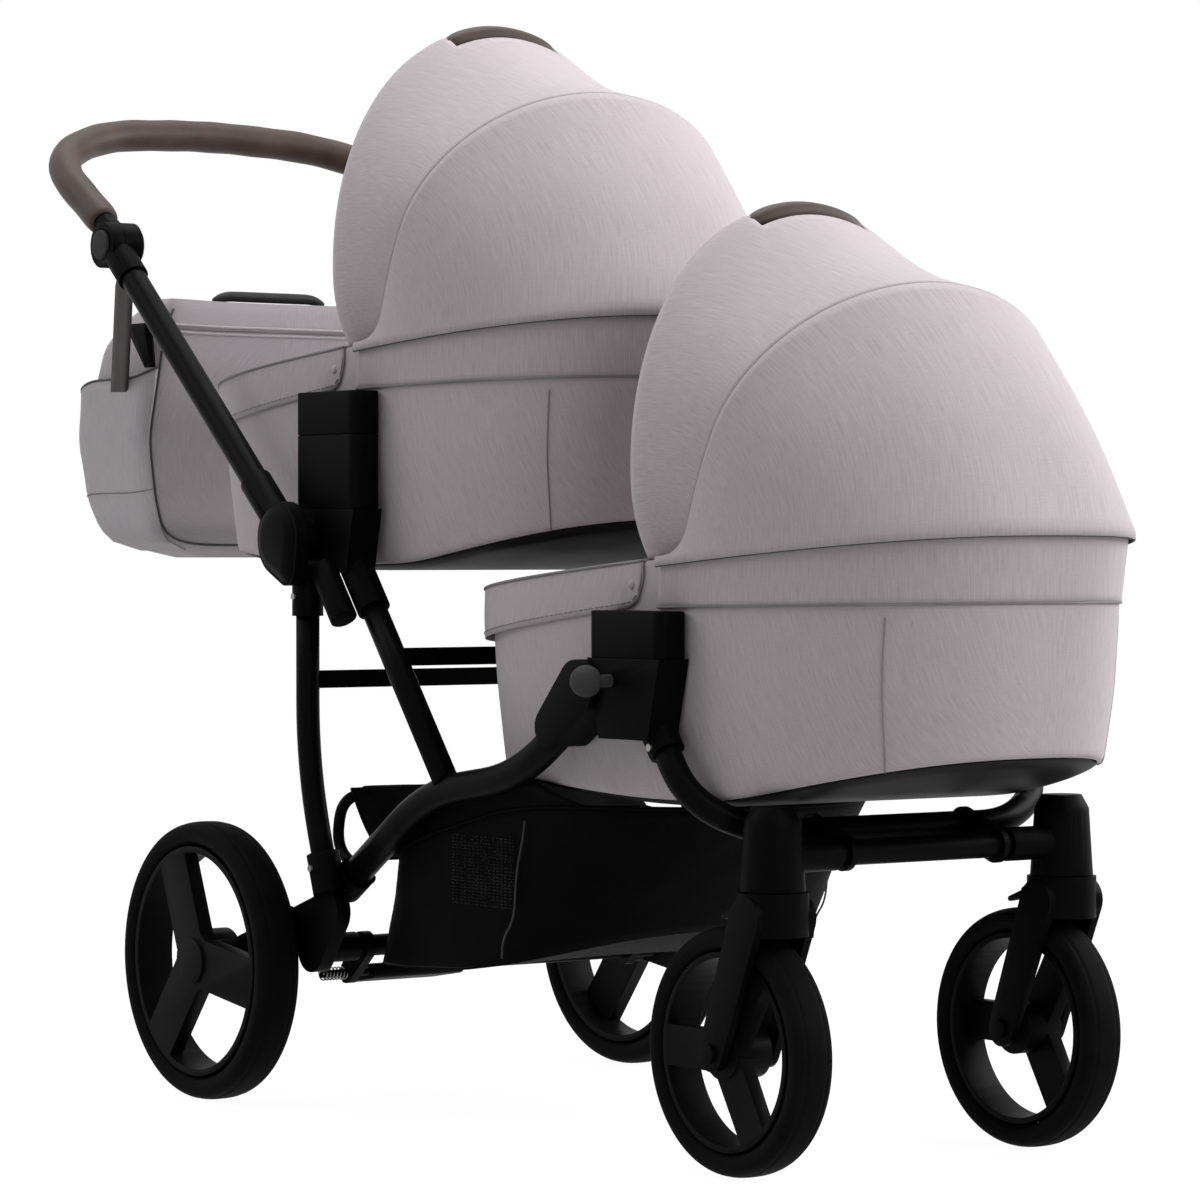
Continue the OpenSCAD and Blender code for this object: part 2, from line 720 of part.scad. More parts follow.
// Front joint: seat block with its peg, arm to the side tube, socket for the hoop
hoop_run = unit([hoop_knee_x - hoop_top_x, 0, hoop_knee_z - hoop_top_z]);
hoop_top = [hoop_top_x, -hoop_y, hoop_top_z];
module front_joint() difference() {
    union() {
        side_plate(-block_out_y, -block_in_y) polygon([
            [front_block_x - block_l / 2, front_seat_z], [front_block_x + block_l / 2, front_seat_z],
            [front_block_x + block_l / 2 - front_inset, front_low_z],
            [front_block_x - block_l / 2 + front_inset, front_low_z]]);
        side_plate(-front_lobe_out_y, -block_in_y) hull() {
            translate([front_arm_x, front_arm_z]) circle(front_lobe_r, $fn = 32);
            translate([front_lobe_end_x, front_lobe_end_z]) circle(front_lobe_end_r, $fn = 32);
        }
        rod(hoop_top, hoop_top + hoop_run * hoop_socket_l, hoop_d + 2 * socket_wall);
        peg(front_block_x, front_seat_z);
    }
    side_tube(side_d + 2 * fit_gap);
    hoop(hoop_d + 2 * fit_gap);
    cross_rod(knob_x, -front_lobe_out_y, -block_in_y + overrun, knob_z, knob_shank_d + 2 * run_gap);
}
module front_joints() color("#141313") placed() both_sides() front_joint();
knob_y = -front_lobe_out_y - knob_travel - knob_d / 2 - fit_gap;
module release_knob() color("#4a4a4c") placed() {
    translate([knob_x, knob_y, knob_z]) sphere(d = knob_d);
    cross_rod(knob_x, knob_y + fit_gap, -block_in_y - knob_travel - fit_gap, knob_z, knob_shank_d);
}
module right_release_knob() release_knob();
module left_release_knob() left_side() release_knob();

// Swivel housing with the sleeve that holds the cross tube
module swivel_housing() translate([swivel_x, -front_track / 2, 0]) difference() {
    union() {
        translate([0, 0, housing_low_z])
            cylinder(d1 = housing_low_d, d2 = housing_top_d, h = housing_top_z - housing_low_z);
        translate([0, 0, housing_top_z])
            cylinder(d1 = housing_top_d, d2 = housing_top_d - 2 * housing_cap_inset, h = housing_cap_h);
        cross_rod(0, 0, housing_low_d / 2 + cross_sleeve_l, cross_z, cross_d + 2 * socket_wall);
    }
    cross_rod(0, housing_low_d / 2 - fit_gap, housing_low_d + cross_sleeve_l, cross_z,
        cross_d + 2 * fit_gap);
    translate([0, 0, housing_low_z - overrun])
        cylinder(d = stem_d + 2 * run_gap, h = housing_top_z - housing_low_z);
}
module swivel_housings() color("#131212") placed() both_sides() swivel_housing();

// Rear foot: leg socket, arm down to the stub axle, boss for the rear beam
leg_foot = [leg_foot_x, -leg_y, leg_foot_z];
leg_foot_run = unit([leg_foot_x - leg_x, 0, leg_foot_z - leg_bend_z]);
side_rear = [side_rear_x, -side_y, side_rear_z];
side_rear_run = unit([side_low_x - side_rear_x, 0, side_low_z - side_rear_z]);
module rear_foot() difference() {
    union() {
        rod(leg_foot - leg_foot_run * foot_socket_h, leg_foot + leg_foot_run * leg_d / 2, foot_socket_d);
        rod(side_rear - side_rear_run * leg_d / 2, side_rear + side_rear_run * side_socket_l / 2,
            side_d + 2 * socket_wall);
        side_plate(-foot_out_y, foot_arm_t - foot_out_y) {
            hull() {
                translate([leg_foot_x, leg_foot_z - foot_drop]) circle(foot_arm_r, $fn = 32);
                translate([beam_x, beam_z]) circle(foot_arm_r, $fn = 32);
            }
            hull() {
                translate([leg_foot_x, leg_foot_z - foot_drop]) circle(foot_end_r, $fn = 32);
                translate([0, rear_wheel_d / 2]) circle(foot_end_r, $fn = 32);
            }
        }
        cross_rod(beam_x, foot_arm_t / 2 - foot_out_y, beam_collar_l - side_y, beam_z,
            beam_d + 2 * socket_wall);
        translate([foot_knob_x, foot_arm_t / 2 - foot_out_y, rear_wheel_d / 2 + foot_drop])
            cylinder(d = foot_knob_d, h = foot_drop);
        cross_rod(0, rear_axle_from_y, -foot_out_y + foot_arm_t / 2, rear_wheel_d / 2, rear_axle_d);
    }
    leg(leg_d + 2 * fit_gap);
    side_tube(side_d + 2 * fit_gap);
    cross_rod(beam_x, -side_y, 0, beam_z, beam_d + 2 * fit_gap);
}
rear_axle_from_y = -rear_track / 2 - rear_tyre_w / 2 + rim_inset + 2 * hub_cap_t;
module rear_feet() color("#151414") placed() both_sides() rear_foot();
module rear_beam() color("#1a1919") placed() {
    tube([beam_x, -side_y, beam_z], [beam_x, side_y, beam_z], beam_d, tube_wall);
    both_sides() difference() {
        side_plate(-hanger_y - hanger_t / 2, hanger_t / 2 - hanger_y) hull() {
            translate([beam_x, beam_z]) circle(beam_d / 2 + socket_wall, $fn = 32);
            translate([brake_x, brake_z]) circle(hanger_r, $fn = 32);
        }
        cross_rod(beam_x, -rear_track, 0, beam_z, beam_d - tube_wall);
        cross_rod(brake_x, -rear_track, 0, brake_z, brake_rod_d + 2 * run_gap);
    }
}

// Brake rod, pedal and the return spring wound round the rod
module brake_rod() color("#2a2929") placed()
    cross_rod(brake_x, -side_y, side_y, brake_z, brake_rod_d);
module brake_pedal() color("#141313") placed() difference() {
    translate([0, pedal_y, 0]) side_plate(-pedal_l / 2, pedal_l / 2) hull() {
        translate([brake_x, brake_z]) circle(brake_rod_d / 2 + socket_wall, $fn = 32);
        translate([brake_x - pedal_reach, brake_z - pedal_drop]) circle(pedal_t / 2, $fn = 32);
    }
    cross_rod(brake_x, -side_y, side_y, brake_z, brake_rod_d + 2 * run_gap);
}
spring_from_y = -hanger_y - hanger_t / 2 - fit_gap - spring_wire_d / 2 - spring_curls * spring_pitch;
spring_coil = [for (k = [0 : spring_curls * spring_rings]) let (turn = 360 * k / spring_rings)
    [brake_x + spring_r * cos(turn), spring_from_y + spring_pitch * k / spring_rings,
        brake_z + spring_r * sin(turn)]];
spring_path = concat([spring_coil[0] - [0, 0, spring_wire_d]], spring_coil,
    [spring_coil[len(spring_coil) - 1] + [0, 0, spring_wire_d]]);
module brake_spring() color("#9a958c") placed() swept(spring_path, spring_wire_d, [0, 1, 0], wire_sides);
spring_last = len(spring_path) - 1;
spring_gap = min([for (i = [0 : spring_last], j = [i + spring_rings / 2 : 1 : spring_last])
    norm(spring_path[i] - spring_path[j])]) - spring_wire_d;
echo(str("least gap between the brake spring's curls: ", spring_gap));

// Basket: an open fabric tub that hangs between the side tubes, with a mesh window on each side
function outline(turn, power) = [sign(cos(turn)) * pow(abs(cos(turn)), 2 / power),
    sign(sin(turn)) * pow(abs(sin(turn)), 2 / power)];
function basket_power_at(turn) = cos(turn) > 0 ? basket_front_power : basket_power;
function basket_ring(level, inset) = [for (k = [0 : plan_steps - 1])
    let (turn = 360 * k / plan_steps, s = (1 + outline(turn, basket_power_at(turn)).x) / 2,
        x_low = mix(basket_low_rear_x + inset, basket_low_front_x - inset, s),
        x_top = mix(basket_rear_x + inset, basket_front_x - inset, s),
        z_low = basket_low_z + inset + basket_nose_rise * pow(s, 3),
        z_top = mix(basket_rear_z, basket_front_z, s) + basket_rim_rise * sin(180 * s))
    [mix(x_low, x_top, level), outline(turn, basket_power_at(turn)).y * (basket_half_w - inset),
        mix(z_low, z_top, level)]];
basket_levels = [0, 0.5, 1];
net_cell = [net_l / net_columns, net_h / net_rows];
module basket_net() side_plate(-basket_half_w - net_t - fit_gap, -basket_half_w - fit_gap)
    translate([net_x - net_l / 2, net_z - net_h / 2]) difference() {
        square([net_l, net_h]);
        for (c = [0 : net_columns - 1], r = [0 : net_rows - 1])
            translate([c * net_cell.x + net_bar / 2, r * net_cell.y + net_bar / 2])
                square([net_cell.x - net_bar, net_cell.y - net_bar]);
    }
module basket() color("#161515") placed() {
    skin(concat([for (f = basket_levels) basket_ring(f, 0)],
        [for (f = reversed(basket_levels)) basket_ring(f, basket_wall)]));
    both_sides() {
        basket_net();
        translate([loop_x - loop_l / 2, -basket_half_w - loop_t, loop_z - loop_drop])
            cube([loop_l, loop_t + basket_wall / 2, loop_drop]);
        tube(loop_at - side_mid_run * loop_l / 2, loop_at + side_mid_run * loop_l / 2,
            side_d + 2 * (fit_gap + loop_t), loop_t);
    }
}
loop_x = (side_low_x + side_rise_x) / 2;
loop_z = (side_low_z + side_rise_z) / 2;
loop_at = [loop_x, -side_y, loop_z];
side_mid_run = unit([side_rise_x - side_low_x, 0, side_rise_z - side_low_z]);
basket_hoop_y = side_y - side_d / 2 - socket_wall - basket_hoop_d / 2 - fit_gap;
basket_hoop_half = [[side_rear_x, -basket_hoop_y, side_rear_z],
    [basket_knee_x, -basket_hoop_y, basket_knee_z], [basket_hoop_x, -basket_hoop_y, basket_hoop_z]];
basket_hoop_route = concat(basket_hoop_half, reversed(across_y(basket_hoop_half)));
module basket_hoop() color("#1b1a1a") placed()
    swept(eased(basket_hoop_route, basket_hoop_ease), basket_hoop_d, [1, 0, 0], bow_sides);

// Pusher: tubes, lower fold fittings with their pins, upper hinge halves
fold_at = [fold_x, -pusher_y, fold_z];
hinge_at = [hinge_x, -pusher_y, hinge_z];
pusher_run = unit(fold_at - hinge_at);
cover_in_y = pusher_y;
knuckle_in_y = pusher_y;
pusher_top = hinge_at + pusher_run * pusher_top_gap;
pusher_low = fold_at - pusher_run * pusher_low_gap;
module pusher_tubes() color("#1a1919") placed() both_sides()
    tube(pusher_top, pusher_low, pusher_d, tube_wall);
module pusher_sleeve(a, b) rod(a, b, pusher_d + 2 * sleeve_wall);
module pusher_fitting() {
    difference() {
        union() {
            pusher_sleeve(pusher_low - pusher_run * pusher_sleeve_l / 2,
                fold_at - pusher_run * cover_neck);
            side_plate(-cover_in_y - cover_t, -cover_in_y - fit_gap) translate([fold_x, fold_z]) hull() {
                circle(cover_r, $fn = 32);
                translate([cover_ahead, -cover_drop]) circle(cover_end_r, $fn = 32);
            }
        }
        rod(pusher_top, pusher_low, pusher_d + 2 * fit_gap);
    }
    cross_rod(fold_x, -cover_in_y - cover_t / 2, -block_in_y, fold_z, fold_pin_d);
    difference() {
        union() {
            pusher_sleeve(pusher_top - pusher_run * pusher_d / 2,
                pusher_top + pusher_run * pusher_sleeve_l / 2);
            cross_rod(hinge_x, -knuckle_in_y - knuckle_t, -knuckle_in_y - fit_gap, hinge_z, 2 * knuckle_r);
        }
        rod(pusher_top, pusher_low, pusher_d + 2 * fit_gap);
        cross_rod(hinge_x, -knuckle_in_y - knuckle_t - pusher_d,
            button_out_y + button_t - button_travel + fit_gap, hinge_z, button_d + 2 * fit_gap);
        cross_rod(hinge_x, -knuckle_in_y, -knuckle_in_y + pusher_d, hinge_z, 2 * knuckle_r + 2 * fit_gap);
        cross_rod(hinge_x, -knuckle_in_y - knuckle_t, 0, hinge_z, knuckle_pin_d + 2 * run_gap);
    }
}
button_out_y = -knuckle_in_y - knuckle_t;
module pusher_fittings() color("#141313") placed() both_sides() pusher_fitting();

// Handle: bent bar with its hinge halves, leather grip and hinge buttons
function handle_point(reach, y) =
    [hinge_x - reach * cos(handle_angle), y, hinge_z + reach * sin(handle_angle)];
handle_y = knuckle_in_y - bar_d / 2 - fit_gap;
bar_corner_y = handle_y - bar_corner_in;
function handle_half(start) = [handle_point(start, -handle_y), handle_point(bar_shoulder, -handle_y),
    handle_point(bar_corner, -bar_corner_y)];
function handle_path(start) = eased(concat(handle_half(start), [handle_point(handle_reach, 0)],
    reversed(across_y(handle_half(start)))), bar_ease);
handle_normal = [sin(handle_angle), 0, cos(handle_angle)];
module handle_bar() color("#171616") placed() {
    swept(handle_path(knuckle_r / 2), bar_d, handle_normal);
    both_sides() {
        cross_rod(hinge_x, -knuckle_in_y, -handle_y + bar_d / 2, hinge_z, 2 * knuckle_r);
        cross_rod(hinge_x, -knuckle_in_y - knuckle_t + button_t, -knuckle_in_y, hinge_z, knuckle_pin_d);
    }
}
module handle_grip() color("#5b3f31") placed()
    swept_sleeve(handle_path(grip_start), grip_d, bar_d + fit_gap, handle_normal);
module handle_button() color("#26211f") placed()
    cross_rod(hinge_x, button_out_y - button_travel, button_out_y + button_t - 2 * button_travel,
        hinge_z, button_d);
module right_handle_button() handle_button();
module left_handle_button() left_side() handle_button();

// Changing bag: a soft body that swells below its top, side straps and a carry handle
module bag_body() color("#8d8684") placed() skin([for (i = [0 : len(bag_level_shares) - 1])
    [for (k = [0 : plan_steps - 1]) let (o = outline(360 * k / plan_steps, bag_power))
        [bag_x + bag_lean * bag_shift_shares[i] + o.x * bag_t / 2 * bag_depth_shares[i],
            o.y * bag_w / 2 * bag_width_shares[i], bag_low_z + bag_h * bag_level_shares[i]]]]);
strap_low_y = bag_w / 2 + strap_t + fit_gap;
strap_loop = pusher_top + pusher_run * (pusher_sleeve_l + strap_w) / 2 + pusher_run * loop_t;
strap_top = strap_loop + [0, pusher_d / 2 + fit_gap, 0];
bag_top_x = bag_x + bag_lean;
bag_handle_half = [[bag_top_x, -bag_handle_l / 2, bag_low_z + bag_h + fit_gap],
    [bag_top_x, -bag_handle_l / 2, bag_low_z + bag_h + bag_handle_h]];
bag_handle_route = concat(bag_handle_half, reversed(across_y(bag_handle_half)));
module bag_straps() color("#3a2a22") placed() {
    both_sides() {
        hull() {
            translate([bag_x + strap_ahead - strap_w / 2, -strap_low_y, strap_low_z])
                cube([strap_w, strap_t, strap_t]);
            translate(strap_top - [strap_w / 2, 0, strap_t / 2]) cube([strap_w, strap_t, strap_t]);
        }
        tube(strap_loop - pusher_run * strap_w / 2, strap_loop + pusher_run * strap_w / 2,
            pusher_d + 2 * (fit_gap + strap_t), strap_t);
    }
    swept(eased(bag_handle_route, bag_handle_ease), bag_handle_d, [1, 0, 0], bow_sides);
}

// Carrycot outline and rim height, measured from the hood pivot
function rim_z(x) = rim_mid_z + x * rim_slope_share;
function ramp(d) = (d + norm([d, keel_ease])) / 2;
function rocker(x) = ramp(x - keel_front_x) * head_rise_share + ramp(keel_back_x - x) * foot_rise_share;
function plan(turn, grow) = let (o = outline(turn, cot_power))
    [cot_mid_x + o.x * (cot_half_l + grow), o.y * (cot_half_w + grow)];
function plan_drawn(turn, end_in, side_in) = let (o = outline(turn, cot_power))
    [cot_mid_x + o.x * (cot_half_l - end_in), o.y * (cot_half_w - side_in)];
function cot_ring(end_in, side_in, z, rock_share, rim_share) = [for (k = [0 : plan_steps - 1])
    let (p = plan_drawn(360 * k / plan_steps, end_in, side_in))
    [p.x, p.y, z + rocker(p.x) * rock_share + rim_z(p.x) * rim_share]];
module rear_cot() placed() translate([rear_pivot_x, 0, rear_pivot_z]) children();
module front_cot() placed() translate([front_pivot_x, 0, front_pivot_z]) children();
tub_low_z = tray_h - cot_depth + fit_gap;
function tub_rings(wall, floor_z) = [
    cot_ring(base_end_in + wall, base_side_in + wall, floor_z, 1, 0),
    cot_ring(edge_end_in + wall, edge_side_in + wall, tub_low_z + edge_h, 1, 0),
    cot_ring(waist_end_in + wall, wall, waist_z, 0, 0),
    cot_ring(cuff_end_in + wall, wall, cuff_z, 0, 0),
    cot_ring(wall, wall, 0, 0, 1)];
module cot_tub() color("#8f8886")
    skin(concat(tub_rings(0, tub_low_z), reversed(tub_rings(cot_wall, tub_low_z + cot_wall))));
module cot_tray() color("#3c3b3c") skin([
    cot_ring(base_end_in + tray_draw_in, base_side_in + tray_draw_in, -cot_depth, 1, 0),
    cot_ring(base_end_in, base_side_in, tray_h - cot_depth, 1, 0)]);
pin_y = cot_wall + pin_in - cot_half_w;
module cot_brackets() color("#121111") both_sides() {
    difference() {
        block(-pivot_ahead, -bracket_low, -bracket_top, block_l);
        peg(-pivot_ahead, -bracket_low, fit_gap, overrun);
    }
    cross_rod(0, pin_y, pin_y + pin_flange_t, 0, pin_flange_d);
    cross_rod(0, pin_y, mid_eye_y + eye_t + eye_gap - cot_half_w, 0, pin_d);
}
main_eye_y = cot_wall + pin_in + pin_flange_t + eye_gap;
mid_eye_y = main_eye_y + eye_t + eye_gap;
module cot_mattress() color("#d8d3cc") skin([for (i = [0 : len(mattress_in_shares) - 1])
    let (inset = cot_wall + mattress_gap + mattress_tuck * mattress_in_shares[i])
    cot_ring(base_end_in + inset, base_side_in + inset, tub_low_z + cot_wall + mattress_lift
        + mattress_t * mattress_height_shares[i] + mattress_crown * mattress_crown_shares[i], 1, 0)]);

// Apron over the foot half: a crowned cover with a band that hangs outside the rim
function apron_ring(share, grow, z, rim_share) = [for (k = [0 : plan_steps - 1])
    let (p = plan(360 * k / plan_steps, fit_gap + grow), x = mix(cot_mid_x, p.x, share))
    [x, p.y * share, z + mix(apron_low_z + x * apron_slope_share, rim_z(x), rim_share)]];
module apron_lid(grow, drop) skin(concat(
    [apron_ring(1, grow, -drop, 0)],
    [for (share = apron_ring_shares)
        apron_ring(share, grow, fit_gap + grow + apron_crown * (1 - share * share), 1)]));
module cot_apron() color("#9a9391") difference() {
    apron_lid(apron_t, 0);
    apron_lid(0, overrun);
    translate([apron_back_x, -2 * cot_half_w, -cot_depth])
        cube([2 * cot_half_l, 4 * cot_half_w, 2 * cot_depth]);
}

// Hood bows: arches in planes that lean about the hood pivot
function lean(y, r, angle) = [r * sin(angle), y, r * cos(angle)];
function arch(share, half_w, foot_in, shoulder_r, height, angle, grow) =
    let (leg_share = min(1, share / bow_side_share, (1 - share) / bow_side_share),
        turn = 180 * max(0, min(1, (share - bow_side_share) / (1 - 2 * bow_side_share))))
    lean(-cos(turn) * (half_w + grow - foot_in * pow(1 - leg_share, 2)),
        mix(bow_foot_r, shoulder_r, leg_share) + (height + grow - shoulder_r) * sin(turn), angle);
crown_edge_share = 0.002;
function crown_share(i) = mix(crown_edge_share, 1 - crown_edge_share, i / hood_steps);
function main_arch(share, grow) = arch(share, main_bow_half_w, main_bow_half_w - main_foot_y,
    main_shoulder_r, main_bow_h, main_bow_angle, grow);
function mid_arch(share, grow) = arch(share, mid_bow_half_w, mid_bow_half_w - mid_foot_y,
    mid_shoulder_r, mid_bow_h, mid_bow_angle, grow);
main_foot_y = cot_half_w - main_eye_y - eye_t / 2;
mid_foot_y = cot_half_w - mid_eye_y - eye_t / 2;
function with_feet(path, foot_y, angle) = concat(
    [lean(-foot_y, bow_start_r, angle)], path, [lean(foot_y, bow_start_r, angle)]);
main_bow_path = with_feet([for (i = [0 : hood_steps]) main_arch(crown_share(i), 0)],
    main_foot_y, main_bow_angle);
mid_bow_path = with_feet([for (i = [0 : hood_steps]) mid_arch(crown_share(i), 0)],
    mid_foot_y, mid_bow_angle);
module bow(path, foot_y, angle) {
    swept(path, bow_d, lean(0, 1, angle + 90), bow_sides);
    both_sides() difference() {
        cross_rod(0, -foot_y - eye_t / 2, eye_t / 2 - foot_y, 0, eye_d);
        cross_rod(0, -foot_y - eye_t, eye_t - foot_y, 0, pin_d + 2 * run_gap);
    }
}
module main_bow() color("#2b2a2a") bow(main_bow_path, main_foot_y, main_bow_angle);
module mid_bow() color("#2b2a2a") bow(mid_bow_path, mid_foot_y, mid_bow_angle);
function carry_path(half_w) = [for (p = main_bow_path) if (abs(p.y) < half_w) p];
main_normal = lean(0, 1, main_bow_angle + 90);
module carry_handle() color("#5b3f31")
    swept_sleeve(carry_path(handle_sleeve_half_w), handle_sleeve_d, bow_d + fit_gap, main_normal, bow_sides);

// Hood panels: one between the bows, one from the middle bow down to the band round the head end
fabric_in = bow_d / 2 + hood_gap;
function crown_row(share, grow) = [for (j = [0 : hood_rows])
    mix(main_arch(share, fabric_in + grow), mid_arch(share, fabric_in + grow), j / hood_rows)
    - [0, 0, 1] * hood_dip * sin(180 * j / hood_rows) * sin(180 * share)];
module hood_crown() color("#979090") difference() {
    skin([for (i = [0 : hood_steps])
        concat(reversed(crown_row(crown_share(i), hood_t)), crown_row(crown_share(i), 0))], true);
    swept(carry_path(handle_sleeve_half_w + handle_notch), handle_sleeve_d + 2 * handle_notch,
        main_normal, bow_sides);
}
head_turn = acos(pow((hood_edge_x - cot_mid_x) / cot_half_l, cot_power / 2));
function head_rim(share, grow) = let (p = plan(mix(-head_turn, head_turn, share), hood_gap + grow))
    [p.x, p.y, rim_z(p.x) + hood_gap + grow];
function end_point(share, row, grow) =
    let (p = mix(head_rim(share, grow), mid_arch(share, fabric_in + grow), row * hood_seam_share),
        out = unit(p - [hood_mid_x, 0, hood_mid_z]))
    p + out * hood_bulge * sin(180 * row) * sin(180 * share);
function end_row(share, grow) = concat(
    [head_rim(share, grow) - [0, 0, hood_band]],
    [for (j = [0 : hood_rows]) end_point(share, j / hood_rows, grow)]);
module hood_end() color("#979090") skin([for (i = [0 : hood_steps])
    concat(end_row(crown_share(i), hood_t), reversed(end_row(crown_share(i), 0)))], true);

module rear_cot_tub() rear_cot() cot_tub();
module rear_cot_tray() rear_cot() cot_tray();
module rear_cot_brackets() rear_cot() cot_brackets();
module rear_apron() rear_cot() cot_apron();
module rear_mattress() rear_cot() cot_mattress();
module rear_main_bow() rear_cot() main_bow();
module rear_carry_handle() rear_cot() carry_handle();
module rear_mid_bow() rear_cot() mid_bow();
module rear_hood_crown() rear_cot() hood_crown();
module rear_hood_end() rear_cot() hood_end();
module front_cot_tub() front_cot() cot_tub();
module front_cot_tray() front_cot() cot_tray();
module front_cot_brackets() front_cot() cot_brackets();
module front_apron() front_cot() cot_apron();
module front_mattress() front_cot() cot_mattress();
module front_main_bow() front_cot() main_bow();
module front_carry_handle() front_cot() carry_handle();
module front_mid_bow() front_cot() mid_bow();
module front_hood_crown() front_cot() hood_crown();
module front_hood_end() front_cot() hood_end();

// Screws seated on the housings
module screw(x, y, z) translate([x, y, z]) rotate([90, 0, 0]) cylinder(d = screw_d, h = screw_t);
module frame_screws() color("#b8b6b4") placed() both_sides() {
    screw(hoop_top_x + hoop_run.x * hoop_socket_l * hoop_screw_share, -hoop_y - hoop_d / 2 - socket_wall,
        hoop_top_z + hoop_run.z * hoop_socket_l * hoop_screw_share);
    screw(leg_x, -leg_y - leg_d / 2 - socket_wall, leg_top_z - leg_socket_l / 2);
    screw(leg_foot_x - leg_foot_run.x * foot_socket_h / 2, -leg_y - foot_socket_d / 2,
        leg_foot_z - leg_foot_run.z * foot_socket_h / 2);
}

rear_legs();
side_tubes();
struts();
crossbars();
rear_joints();
riser_adapters();
front_joints();
front_hoop();
front_cross_tube();
swivel_housings();
rear_feet();
rear_beam();
frame_screws();
brake_rod();
brake_pedal();
brake_spring();
basket();
basket_hoop();
rear_right_tyre();
rear_right_rim();
rear_left_tyre();
rear_left_rim();
front_right_tyre();
front_right_rim();
front_left_tyre();
front_left_rim();
right_fork();
left_fork();
right_swivel_lock();
left_swivel_lock();
pusher_tubes();
pusher_fittings();
bag_body();
bag_straps();
handle_bar();
handle_grip();
right_handle_button();
left_handle_button();
right_release_knob();
left_release_knob();
rear_cot_tub();
rear_cot_tray();
rear_cot_brackets();
rear_apron();
rear_mattress();
rear_main_bow();
rear_carry_handle();
rear_mid_bow();
rear_hood_crown();
rear_hood_end();
front_cot_tub();
front_cot_tray();
front_cot_brackets();
front_apron();
front_mattress();
front_main_bow();
front_carry_handle();
front_mid_bow();
front_hood_crown();
front_hood_end();
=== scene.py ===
"""Twin pram: cloth, leather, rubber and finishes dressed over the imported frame."""

import json
import math

import bmesh
import bpy
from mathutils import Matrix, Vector, noise

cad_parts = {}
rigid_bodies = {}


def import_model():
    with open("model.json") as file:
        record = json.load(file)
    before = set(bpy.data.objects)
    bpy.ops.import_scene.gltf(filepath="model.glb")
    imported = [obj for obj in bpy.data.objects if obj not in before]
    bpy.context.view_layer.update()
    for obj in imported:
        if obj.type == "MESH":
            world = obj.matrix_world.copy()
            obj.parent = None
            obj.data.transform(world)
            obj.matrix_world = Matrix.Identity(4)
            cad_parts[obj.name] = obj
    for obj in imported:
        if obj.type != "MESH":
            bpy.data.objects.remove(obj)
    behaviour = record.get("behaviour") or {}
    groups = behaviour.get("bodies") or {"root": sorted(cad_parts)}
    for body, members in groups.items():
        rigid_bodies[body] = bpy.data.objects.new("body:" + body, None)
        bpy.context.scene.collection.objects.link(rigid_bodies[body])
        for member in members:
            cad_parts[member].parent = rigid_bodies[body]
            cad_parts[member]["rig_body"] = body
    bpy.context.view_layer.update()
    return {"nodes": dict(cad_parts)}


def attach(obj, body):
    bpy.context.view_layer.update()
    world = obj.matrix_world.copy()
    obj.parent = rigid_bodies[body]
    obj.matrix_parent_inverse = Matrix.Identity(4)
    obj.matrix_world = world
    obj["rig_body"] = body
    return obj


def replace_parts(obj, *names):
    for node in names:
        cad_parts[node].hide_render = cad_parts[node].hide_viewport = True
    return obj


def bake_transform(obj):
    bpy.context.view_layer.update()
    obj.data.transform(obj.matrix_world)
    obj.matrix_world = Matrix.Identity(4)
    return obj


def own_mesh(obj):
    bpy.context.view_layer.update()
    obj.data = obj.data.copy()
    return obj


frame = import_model()
nodes = frame["nodes"]
scene = bpy.context.scene
MM = 0.001
REAR_AXLE = -268.6 * MM
FOCUS_PX, PHOTO_PX = 4345.7, 1200
CAMERA_PLACE = (3911.8, -2610.9, 571.9)
CAMERA_TILT, CAMERA_TURN = 89.36, 54.0
SIDES = ((-1, "right"), (1, "left"))


# Camera
def place_camera():
    data = bpy.data.cameras.new("studio_camera")
    data.sensor_width = 36
    data.lens = FOCUS_PX / PHOTO_PX * data.sensor_width
    data.clip_end = 60
    camera = bpy.data.objects.new("studio_camera", data)
    camera.location = at(*CAMERA_PLACE)
    camera.rotation_euler = (math.radians(CAMERA_TILT), 0, math.radians(CAMERA_TURN))
    scene.collection.objects.link(camera)
    scene.camera = camera


# Finishes
class Value:
    """A node's output that takes part in arithmetic; each operation adds a Math node."""

    def __init__(self, home, socket):
        self.home, self.socket = home, socket

    def _math(self, operation, first, second):
        return self.home.add("ShaderNodeMath", {"operation": operation}, {0: first, 1: second})["Value"]

    def __add__(self, other):
        return self._math("ADD", self, other)

    def __mul__(self, other):
        return self._math("MULTIPLY", self, other)

    __radd__, __rmul__ = __add__, __mul__

    def __gt__(self, other):
        return self._math("GREATER_THAN", self, other)

    def wave(self, period):
        """A sine of this length, from -1 to 1."""
        return self._math("SINE", self * (2 * math.pi / period), 0)

    def larger(self, other):
        return self._math("MAXIMUM", self, other)

    def smaller(self, other):
        return self._math("MINIMUM", self, other)


class Outputs:
    """A node's outputs, by name."""

    def __init__(self, home, node):
        self.home, self.node = home, node

    def __getitem__(self, name):
        return Value(self.home, self.node.outputs[name])


